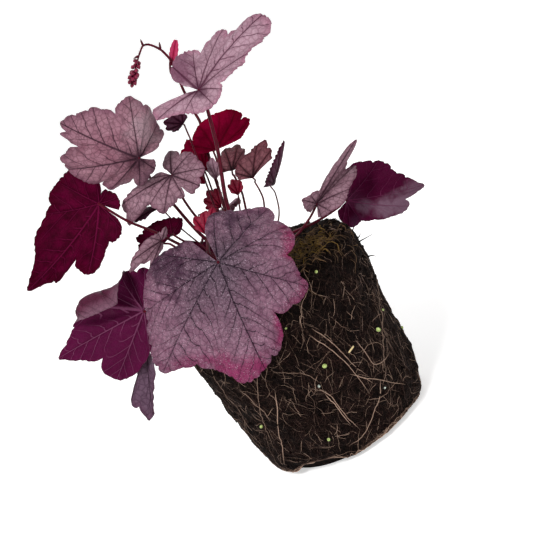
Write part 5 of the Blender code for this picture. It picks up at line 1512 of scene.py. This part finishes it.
def wandering_roots(gather, dice, count, points, thin, thick, dark, pale, lift,
                    low=None, high=None, level=None):
    """Roots whose heading drifts as they go, laid on the soil by its own formula."""
    low = FELT_START if low is None else low
    high = FELT_END if high is None else high
    start = dice.uniform(low, high, count)
    angle = dice.uniform(-math.pi, math.pi, count)
    heading = dice.normal(math.pi / 2, HEADING_SPREAD, count) * dice.choice([1, -1], count)
    if level is not None:
        heading = dice.normal(level, LEVEL_SPREAD, count)
    curl = dice.normal(0, CURL, count)
    turns = curl[:, None] + dice.normal(0, DRIFT, (count, points))
    heading = heading[:, None] + np.cumsum(turns, axis=1)
    step = ROOT_STEP * dice.uniform(*ROOT_PACE, count)[:, None]
    way = start[:, None] + np.cumsum(step * np.sin(heading), axis=1)
    way = low + (way - low + 2 * (high - low)) % (2 * (high - low))
    way = np.where(way > high, 2 * high - way, way)
    radius = np.interp(way, profile_way, profile[:, 0])
    angle = angle[:, None] + np.cumsum(step * np.cos(heading) / radius, axis=1)
    surface, out = soil_surface(way, angle)
    along = np.linspace(0, 1, points)
    size = dice.uniform(thin, thick, count)[:, None] * np.interp(along, *ROOT_TAPER)
    rise = lift * dice.uniform(0.1, 1, count)[:, None] ** 2 * np.sin(math.pi * along) + 0.35 * size
    root_tubes(gather, surface + out * rise[..., None], out, size, dice.uniform(dark, pale, count))


def placed_roots(gather, dice, routes, thin, thick):
    """Roots led through named places on the ball, each given as way and bearing."""
    for route in routes:
        steps = np.linspace(0, len(route) - 1, STRONG_POINTS)
        line = smooth_through(np.array(route, float), steps)
        line = line + np.cumsum(dice.normal(0, WIGGLE, (STRONG_POINTS, 2)), axis=0)
        surface, out = soil_surface(line[:, 0], np.radians(line[:, 1]))
        size = dice.uniform(thin, thick) * np.interp(steps / steps[-1], *STRONG_TAPER)
        centre = surface + out * (0.5 * size + 0.15)[:, None]
        root_tubes(gather, centre[None], out[None], size[None], np.array([dice.uniform(0.8, 1.0)]))


print("the felt lies", round(FELT_START), "to", round(FELT_END), "mm down the profile")

# %% [markdown]
# Two felts are laid: long roots with a ring of them along the foot, where they ran
# round inside the pot, and a crowd of short ends. Their bark goes from brown to pale
# tan by a tone that each root carries, and darkens towards both ends.

# %% Fine roots on the ball
ROOT_CROWDS = [
    # how many, points each, thinnest and thickest radius, lowest and highest tone, lift
    (1500, 9, 0.07, 0.13, 0.05, 0.5, 0.15),
    (520, 13, 0.08, 0.16, 0.25, 0.8, 0.3),
    (60, 20, 0.13, 0.2, 0.6, 0.95, 0.5)]
FOOT_CROWD = (70, 26, 0.2, 0.42, 0.6, 1.0, 0.3)
FOOT_REACH = 2.5
SHORT_START = SIDE_START + 12
SHORT_ROOTS = [
    (3300, 6, 0.06, 0.11, 0.15, 0.7, 0.25),
    (700, 7, 0.07, 0.13, 0.6, 1.1, 0.3)]
STRONG_ROOTS = [
    [(90.5, -83), (103, -78), (116.5, -73.5), (129.5, -71.5), (143, -70)],
    [(88, -80), (100, -75), (112, -72), (122, -70), (132, -66)],
    [(121, -93.5), (129, -90), (138, -89), (149, -87.5), (158, -85.5)],
    [(126.5, -92), (132, -91), (138.5, -90.5), (145, -90), (151.5, -89)],
    [(124, -75), (131, -69), (138.5, -61.5), (148, -53), (155.5, -45)],
    [(109.5, -62.5), (119, -60), (129.5, -59), (133, -50), (133, -41)],
    [(105, -30), (113, -36), (122, -44), (131, -50), (140, -58)],
    [(96, -118), (108, -125), (121, -131), (136, -138), (150, -141)],
    [(112, -116), (124, -121), (137, -128), (151, -133), (163, -140)],
    [(70, -140), (86, -146), (104, -149), (122, -152), (140, -158)],
    [(140, -60), (148, -66), (155, -74), (160, -84), (164, -96)]]
STRONG_RADII = (0.18, 0.28)


def root_bark():
    """Roots: from brown to pale tan by their tone, darker towards both ends."""
    material, place = new_material("root_bark", gloss=0.06)
    way, tone, _ = place.attribute("vein").parts()
    mottle = place.noise(0.9, 3)
    pale = tone + (mottle - 0.5) * 0.7
    tint = pale.rise(0.0, 0.55).blend((8, 3, 4), (54, 36, 31))
    tint = pale.rise(0.5, 1.05).blend(tint, (172, 144, 126))
    tint = ((abs(way - 0.5) * 2).rise(0.7, 1.0) * 0.5).blend(tint, (52, 36, 30))
    return dress(material, tint, mottle * 0.25 + 0.5, mottle * 0.12)


dice = np.random.default_rng(2024)
gather = Gather()
for crowd in ROOT_CROWDS:
    wandering_roots(gather, dice, *crowd)
wandering_roots(gather, dice, *FOOT_CROWD, low=SIDE_END - FOOT_REACH, high=SIDE_END + FOOT_REACH,
                level=0.0)
placed_roots(gather, dice, STRONG_ROOTS, *STRONG_RADII)
bark = root_bark()
gather.build("fine_roots", [bark], slot="root_ball")
gather = Gather()
for crowd in SHORT_ROOTS:
    wandering_roots(gather, dice, *crowd, low=SHORT_START)
gather.build("short_roots", [bark], slot="root_ball")

# %% [markdown]
# Beads, grit and crumbs are all small lumps: one globe with closed poles, stretched
# and turned its own way for each. A turn that mirrors the globe would show its
# inside, so the faces of mirrored lumps are reversed.

# %% Small lumps


def add_lumps(gather, centres, radii, seed, slot, squash=0.8, tone=0.5, rows=7, columns=10):
    """Small lumps: a globe r(1 + noise) with poles closed, each stretched its own way."""
    dice = np.random.default_rng(seed)
    polar = np.linspace(0, math.pi, rows + 2)[1:-1]
    turn = np.arange(columns) * 2 * math.pi / columns
    globe = np.stack([np.sin(polar)[:, None] * np.cos(turn), np.sin(polar)[:, None] * np.sin(turn),
                      np.cos(polar)[:, None] + 0 * turn], axis=-1).reshape(-1, 3)
    globe = np.vstack([globe, (0, 0, 1), (0, 0, -1)])
    count = len(centres)
    stretch = dice.uniform(squash, 1, (count, 1, 3))
    twist = np.linalg.qr(dice.normal(size=(count, 3, 3)))[0]
    shape = globe[None] * stretch
    spot = globe[None] * 1.3 + dice.uniform(0, 20, (count, 1, 3))
    rough = 1 + (1 - squash) * lattice(spot, 1.0, seed)
    points = np.einsum("nij,nkj->nki", twist, shape * rough[..., None])
    points = centres[:, None] + points * radii[:, None, None]
    first = gather.put(points.reshape(-1, 3))
    size = rows * columns + 2
    index = np.arange(rows * columns).reshape(rows, columns)
    poles = np.vstack([cap(size - 2, index[0]), cap(size - 1, index[-1], 1)])
    mirror = np.linalg.det(twist) < 0
    starts = first + np.arange(count) * size
    for faces in (ring_quads(index), poles):
        for keep, flip in ((~mirror, 1), (mirror, -1)):
            both = (starts[keep][:, None, None] + faces[None, :, ::flip]).reshape(-1, faces.shape[1])
            shade = dice.uniform(tone - 0.3, tone + 0.3, keep.sum())
            tones = np.zeros((*both.shape, 3))
            tones[..., 1] = np.repeat(shade, len(faces))[:, None]
            gather.cover(both, slot, tones)


def on_ball(places):
    """Points on the soil, and the way out, for (way, bearing in degrees, ...) rows."""
    places = np.array(places, float)
    return soil_surface(places[:, 0], np.radians(places[:, 1]))


print("60 mm down the profile, to the front, is the point", on_ball([(60, -90)])[0][0].round())

# %% [markdown]
# Small things tell the size of the ball: green feed beads and grit are pressed into
# its side, and crumbs of peat lie on its shoulder. They are placed by where they sit
# on the profile and round it, as the photograph shows them.

# %% Beads, grit and crumbs
BEADS = [
    # way along the profile, bearing in degrees, radius
    (63.0, -61.0, 0.9), (111.5, -31.0, 0.8), (115.5, -45.5, 1.5), (137.5, -7.0, 1.1),
    (111.0, -84.5, 1.3), (132.5, -139.5, 1.1), (152.0, -103.5, 1.0), (79.5, -91.5, 0.7),
    (96.0, 40.0, 1.2), (140.0, 75.0, 1.0), (88.0, 128.0, 1.3), (126.0, 160.0, 0.9)]
GRIT = [(120.0, -92.5, 0.9), (146.0, -60.0, 0.7), (84.0, 15.0, 0.8), (120.0, 110.0, 0.9)]
CRUMB_COUNT = 700
SHOULDER_COUNT = 260
CRUMB_START = 24
SHOULDER_END = 70


def bead_coat(name, deep, pale):
    """A bead or a piece of grit: mottled, with a slight wet shine."""
    material, place = new_material(name, gloss=0.3)
    mottle = place.noise(1.0, 3)
    return dress(material, mottle.rise(0.3, 0.65).blend(deep, pale), mottle * 0.3 + 0.3, mottle * 0.2)


gather = Gather()
for places, seed, slot, sink, squash in ((BEADS, 5, 0, 0.45, 0.85), (GRIT, 6, 1, 0.4, 0.7)):
    surface, out = on_ball(places)
    sizes = np.array(places)[:, 2]
    add_lumps(gather, surface + out * (sink * sizes)[:, None], sizes, seed, slot, squash,
              rows=9, columns=14)
coats = [bead_coat("feed_bead", (96, 116, 40), (190, 206, 130)),
         bead_coat("grit", (120, 130, 120), (214, 220, 210))]
gather.build("beads", coats, slot="root_ball")

gather = Gather()
dice = np.random.default_rng(77)
places = np.stack([dice.uniform(CRUMB_START, SIDE_END - 3, CRUMB_COUNT),
                   dice.uniform(-180, 180, CRUMB_COUNT)], axis=-1)
places[:SHOULDER_COUNT, 0] = dice.uniform(CRUMB_START, SHOULDER_END, SHOULDER_COUNT)
surface, out = on_ball(places)
sizes = dice.uniform(0.5, 1.5, CRUMB_COUNT) * np.where(places[:, 0] < 66, 1.15, 0.8)
add_lumps(gather, surface + out * (0.25 * sizes)[:, None], sizes, 9, 0, 0.6, rows=3, columns=6)
gather.build("crumbs", [peat_coat], slot="root_ball")

# %% [markdown]
# Moss and dead fibres lie in a tangle round the crown. Each fibre is a short arc
# that leaves the soil and comes back to it, and a few hundred of them, from gold
# to brown, make the mat that the photograph shows at the top of the ball.

# %% How moss and litter lie
MOSS_SPOT = (42.0, -38.0)
MOSS_REACH = (23, 88)
ARC_POINTS = 9
ARC_TURN = 0.3
ARC_LENGTHS = (0.5, 1.3)
ARC_RISE = (0.2, 2.4)
ARC_TAPER = ((0, 0.2, 0.8, 1), (0.6, 1, 0.9, 0.3))
FIBRES = [
    # how many, spread along and round in mm, length, radius, tones, slot
    (300, 14.0, 22.0, 9.0, 0.15, (0.0, 0.9), 0),
    (420, 24.0, 64.0, 10.0, 0.17, (0.0, 0.8), 1)]


def arcs(gather, dice, count, spread, round_by, length, radius, tones, slot):
    """Short arcs: way and bearing follow a bent line, and the height is sin^0.8 along it."""
    way = MOSS_SPOT[0] + dice.normal(0, spread / 2, count)
    bearing = np.radians(MOSS_SPOT[1]) + dice.normal(0, round_by / 2, count) / np.maximum(way, 15)
    heading = dice.uniform(0, 2 * math.pi, count)[:, None] + np.cumsum(
        dice.normal(0, ARC_TURN, (count, ARC_POINTS)), axis=1)
    step = (length * dice.uniform(*ARC_LENGTHS, count) / ARC_POINTS)[:, None]
    ways = np.clip(way[:, None] + np.cumsum(step * np.sin(heading), axis=1), *MOSS_REACH)
    around = np.interp(ways, profile_way, profile[:, 0])
    bearings = bearing[:, None] + np.cumsum(step * np.cos(heading) / around, axis=1)
    surface, out = soil_surface(ways, bearings)
    along = np.linspace(0, 1, ARC_POINTS)
    rise = dice.uniform(*ARC_RISE, count)[:, None] * np.sin(math.pi * along) ** 0.8
    size = radius * dice.uniform(0.6, 1.4, count)[:, None] * np.interp(along, *ARC_TAPER)
    root_tubes(gather, surface + out * rise[..., None], out, size, dice.uniform(*tones, count), slot)


dice = np.random.default_rng(31)
gather = Gather()
for crowd in FIBRES:
    arcs(gather, dice, *crowd)
print(sum(crowd[0] for crowd in FIBRES), "fibres laid")

# %% [markdown]
# A few dark root ends stand off the shoulder, and a chip of straw lies on the side.
# Both are strands as well, straight or slightly bent, so they join the moss in one
# piece. Each kind of strand has its own pair of colours.

# %% Root ends, the chip and the dry finishes
CHIP = (112.0, -67.5)
CHIP_HALF = 2.4
CHIP_RADIUS = 0.65
CHIP_TAPER = ((0, 0.1, 0.9, 1), (0.6, 1, 1, 0.7))
SPIKES = [(73.0, -7.5), (75.0, -9.0), (84.5, -12.5), (71.0, 4.0), (90.0, 170.0), (78.0, 96.0)]
SPIKE_LENGTH = (5.0, 8.5)
SPIKE_RADIUS = 0.55
SPIKE_LEAN = 0.6
SPIKE_POINTS = 8


def fibre_skin(name, deep, pale):
    """Dry fibre or moss: a blend of two colours by the strand's own tone."""
    material, place = new_material(name, gloss=0.12)
    tone = place.attribute("vein").parts()[1]
    mottle = place.noise(0.8, 3)
    tint = (tone * 0.8 + (mottle - 0.4) * 0.7).rise(0.0, 1.0).blend(deep, pale)
    return dress(material, tint, mottle * 0.2 + 0.6, mottle * 0.1)


surface, out = on_ball(SPIKES)
along = np.linspace(0, 1, SPIKE_POINTS)
lean = unit(dice.normal(size=(len(SPIKES), 3))) * SPIKE_LEAN
reach = dice.uniform(*SPIKE_LENGTH, len(SPIKES))[:, None, None]
spikes = surface[:, None] + reach * along[:, None] * (out[:, None] + lean[:, None] * along[:, None])
root_tubes(gather, spikes, np.broadcast_to(lean[:, None], spikes.shape),
           SPIKE_RADIUS * np.interp(along, (0, 1), (1, 0.15)) * np.ones((len(SPIKES), 1)),
           np.full(len(SPIKES), 0.1), 2)
surface, out = on_ball([CHIP])
slant = RIGHT + UP
slant = unit(slant - out[0] * (slant @ out[0]))
chip = surface + out * 0.5 + np.linspace(-CHIP_HALF, CHIP_HALF, SPIKE_POINTS)[:, None] * slant
root_tubes(gather, chip[None], np.broadcast_to(out, (1, SPIKE_POINTS, 3)),
           CHIP_RADIUS * np.interp(along, *CHIP_TAPER)[None], np.array([1.0]), 3)
skins = [fibre_skin("gold_moss", (58, 46, 22), (168, 132, 62)),
         fibre_skin("dry_litter", (30, 20, 15), (136, 104, 74)),
         fibre_skin("dark_root", (22, 14, 14), (60, 40, 34)),
         fibre_skin("straw_chip", (150, 126, 84), (206, 186, 140))]
gather.build("moss_and_litter", skins, slot="root_ball")

# %% [markdown]
# The crown is a low woody dome wrapped in the stubs of old leaves. Overlapping
# scales are a saw wave along the dome, broken round it by a wave of the angle, so
# each scale has a thin lip over the next one down.

# %% The crown
STUB_RADIUS = 9.0
STUB_DEPTH = 12.0
STUB_RINGS = 8
DOME_RINGS = 60
CROWN_SEGMENTS = 180
SCALE_COUNT = 14
SCALE_ROWS = 7


def make_crown():
    """The dome: distance from its seat = radius - scale height, on a grid of slope and bearing.

    The stub under it is a plain cylinder, closed by a fan, with room in its hole.
    """
    gather = Gather()
    top = BALL_HEIGHT + GAP
    rim = math.acos((top - CROWN_SEAT[2]) / CROWN_RADIUS)
    slope = np.linspace(0, 1, DOME_RINGS + 1)[1:]
    around = np.arange(CROWN_SEGMENTS) * 2 * math.pi / CROWN_SEGMENTS
    share, turn = np.meshgrid(slope, around, indexing="ij")
    row = share * SCALE_ROWS
    row = row + 0.35 * np.abs(np.sin(SCALE_COUNT / 2 * turn + 1.3 * np.floor(row)))
    lip = (row % 1) ** 2.5
    seat = np.stack([np.cos(turn), np.sin(turn), share * 2], axis=-1) * 14
    rough = 0.25 * lattice(seat, 2.2, 3) + 0.12 * lattice(seat, 0.9, 4)
    reach = CROWN_RADIUS - (0.15 + 0.55 * (1 - lip) + rough) * np.clip(8 * (1 - share), 0, 1)
    level = reach * np.sin(share * rim)
    dome = np.stack([level * np.cos(turn), level * np.sin(turn),
                     CROWN_SEAT[2] + reach * np.cos(share * rim)], axis=-1)
    height, turn = np.meshgrid(np.linspace(top, top - STUB_DEPTH, STUB_RINGS), around, indexing="ij")
    stub = np.stack([STUB_RADIUS * np.cos(turn), STUB_RADIUS * np.sin(turn), height], axis=-1)
    grid = np.concatenate([dome, stub])
    first = gather.put(np.vstack([grid.reshape(-1, 3), (0, 0, CROWN_SEAT[2] + CROWN_RADIUS - 0.5),
                                  (0, 0, top - STUB_DEPTH)]))
    peak = first + len(grid) * CROWN_SEGMENTS
    index = np.arange(first, peak).reshape(len(grid), CROWN_SEGMENTS)
    gather.cover(ring_quads(index), 0)
    gather.cover(cap(peak, index[0]), 0)
    gather.cover(cap(peak + 1, index[-1], 1), 0)
    return gather


def crown_wood():
    """Crown wood: brown and crimson scales with dark fibrous gaps."""
    material, place = new_material("crown_wood", gloss=0.15)
    mottle = place.noise(0.25, 4)
    fibre = place.noise(1.6, 3, 0.7)
    tint = mottle.rise(0.35, 0.65).blend((58, 30, 24), (120, 58, 50))
    tint = (fibre.rise(0.55, 0.75) * 0.6).blend(tint, (146, 110, 84))
    return dress(material, tint, fibre * 0.25 + 0.6, fibre * 0.35 + mottle * 0.4)


make_crown().build("crown_scales", [crown_wood()], "crown")

# %% [markdown]
# A small leaf and the buds hold to the flower stem. A bud is a ribbed egg, a profile
# turned about the bud's own axis. The leaf is a grid with a width that swells and
# narrows along it, folded a little along its middle, and thick enough to be closed.

# %% A bud and the stem's leaf
STEM_LEAF = ((-50, 122, -3), (-47.5, 137.5, -1))
STEM_LEAF_WIDTH = 5.2
STEM_LEAF_HALF = 0.2
STEM_LEAF_EDGE = (2.6, 0, 1.0)
BUD_RINGS = 9
BUD_LENGTH = 1.35


def add_bud(gather, centre, along, radius, slot):
    """A bud: radius r sin(p)^0.8 (1 + 0.12 cos 5t) along a length of 2.7 r, poles closed."""
    way = np.linspace(-1, 1, BUD_RINGS)
    line = centre + np.outer(way, along) * radius * BUD_LENGTH
    widths = radius * np.maximum(np.sin(math.pi * (way + 1) / 2), 0.12) ** 0.8
    add_tube(gather, line, widths, 10, slot, ridges=0.12, tone=0.5)


def add_stem_leaf(gather, slot):
    """The small leaf: half its width (0.12 + 0.88 sin^0.8 of the way), folded by |side|^1.3."""
    base, tip = seen(STEM_LEAF[0]), seen(STEM_LEAF[1])
    along = unit(tip - base)
    across = unit(np.cross(along, TOWARD))
    way, side = np.meshgrid(np.linspace(0, 1, 25), np.linspace(-1, 1, 13), indexing="ij")
    half = STEM_LEAF_WIDTH / 2 * (0.12 + 0.88 * np.sin(math.pi * (0.08 + 0.84 * way)) ** 0.8)
    half = half * (1 + 0.06 * np.cos(30 * way) * np.abs(side))
    middle = base + (tip - base) * way[..., None]
    fold = 0.7 * np.abs(side) ** 1.3 * half / 2.6 + 0.12 * np.cos(9 * side) * (1 - way)
    sheet = middle + (side * half)[..., None] * across + fold[..., None] * TOWARD
    normals = grid_normals(sheet)
    rows, columns = way.shape
    top = gather.put((sheet + STEM_LEAF_HALF * normals).reshape(-1, 3))
    foot = gather.put((sheet - STEM_LEAF_HALF * normals).reshape(-1, 3))
    quads = grid_quads(rows, columns)
    values = np.stack([side * half, 0 * side, 0.6 + 0.4 * np.abs(side)], axis=-1).reshape(-1, 3)
    gather.cover(quads + top, slot, values[quads])
    gather.cover(quads[:, ::-1] + foot, slot, values[quads[:, ::-1]])
    index = np.arange(rows * columns).reshape(rows, columns)
    edge = np.concatenate([index[:, 0], index[-1, 1:], index[-2::-1, -1], index[0, -2::-1]])
    wall = np.stack([edge[:-1] + top, edge[1:] + top, edge[1:] + foot, edge[:-1] + foot], axis=-1)
    gather.cover(wall, slot, STEM_LEAF_EDGE)


print("the stem's leaf is", STEM_LEAF_WIDTH, "mm wide")

# %% [markdown]
# One flower stem rises behind the leaves and nods over. Its buds hang in a loose
# spike: each is set off the stem by a turn of about 137 degrees from the last, as
# many plants do, so they hang all round it. A few bracts stand where it bends.

# %% The flower stem
SCAPE_ROUTE = [(-13, 22, -4), (-25, 58, -10), (-33, 88, -20), (-36, 93.5, -20), (-43, 107.5, -10),
               (-49.5, 123.5, -2), (-51.5, 126.5, -1), (-56.5, 131.5, 0), (-63, 134.5, 1),
               (-67, 134, 2), (-69, 130, 3), (-70.5, 125, 4), (-72.5, 117, 5), (-74, 111, 6)]
SCAPE_FOOT = (95, 76)
SCAPE_RADIUS = 0.9
SCAPE_TIP_RADIUS = 0.45
SCAPE_RINGS = 150
BUD_START = 12
BUD_COUNT = 20
BUD_TURN = 2.4
BUD_STALK = 0.28
BRACTS = [((-67, 133.7, 2), (-68.8, 138, 2.5)), ((-56.5, 131.5, 0), (-57.5, 136.5, 1)),
          ((-69.5, 128, 3.5), (-73, 126, 4.5)), ((-51, 125, -2), (-51, 117, -1))]
BRACT_TAPER = ((0, 2, 5, 8), (0.4, 0.75, 0.6, 0.1))
BRACT_RINGS = 9


def make_flower_stem():
    """The nodding stem with its buds, bracts and small leaf, in one piece."""
    gather = Gather()
    foot, _ = crown_foot(SCAPE_FOOT)
    route = np.array([foot] + [seen(place) for place in SCAPE_ROUTE])
    steps = np.linspace(0, len(route) - 1, SCAPE_RINGS)
    centres = smooth_through(route, steps)
    radii = np.interp(steps, (0, len(route) - 1), (SCAPE_RADIUS * 1.2, SCAPE_TIP_RADIUS))
    add_tube(gather, centres, radii, 9, 0, ridges=0.05)
    add_hairs(gather, centres, radii, 3, 0)
    places = np.linspace(BUD_START, len(route) - 1, BUD_COUNT)
    spots = smooth_through(route, places)
    ahead = unit(np.gradient(spots, axis=0))
    for k, (spot, along) in enumerate(zip(spots, ahead)):
        side = unit(np.cross(along, TOWARD))
        turn = BUD_TURN * k
        aside = math.cos(turn) * side + math.sin(turn) * np.cross(along, side)
        radius = 0.8 + 0.55 * math.sin(math.pi * (0.1 + 0.75 * k / BUD_COUNT))
        way = unit(along + 0.8 * aside)
        centre = spot + aside * (0.5 + radius) + along * 0.3
        add_bud(gather, centre, way, radius, 1)
        add_tube(gather, np.linspace(spot, centre, 4), np.full(4, BUD_STALK), 6, 0)
    for base, tip in BRACTS:
        line = np.linspace(seen(base), seen(tip), BRACT_RINGS)
        line = line + np.sin(np.linspace(0, math.pi, BRACT_RINGS))[:, None] * 0.4 * TOWARD
        add_tube(gather, line, np.interp(np.arange(BRACT_RINGS), *BRACT_TAPER), 8, 0, 0.1)
    add_stem_leaf(gather, 2)
    return gather


skins = [finish("crimson_stalk"), bead_coat("bud_skin", (70, 2, 26), (134, 22, 62)),
         finish("pink_upper")]
make_flower_stem().build("nodding_stem", skins, "flower_stem")

# %% [markdown]
# Both boxes, of the solids and of the visual model, are printed at the end.
# The visual model has to keep to the size of the solids.

# %% Sizes and finish
visual_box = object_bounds()
for label, corners in (("solids", cad_box), ("visual", visual_box)):
    print(label, [[round(float(x) / MM, 1) for x in corner] for corner in corners])
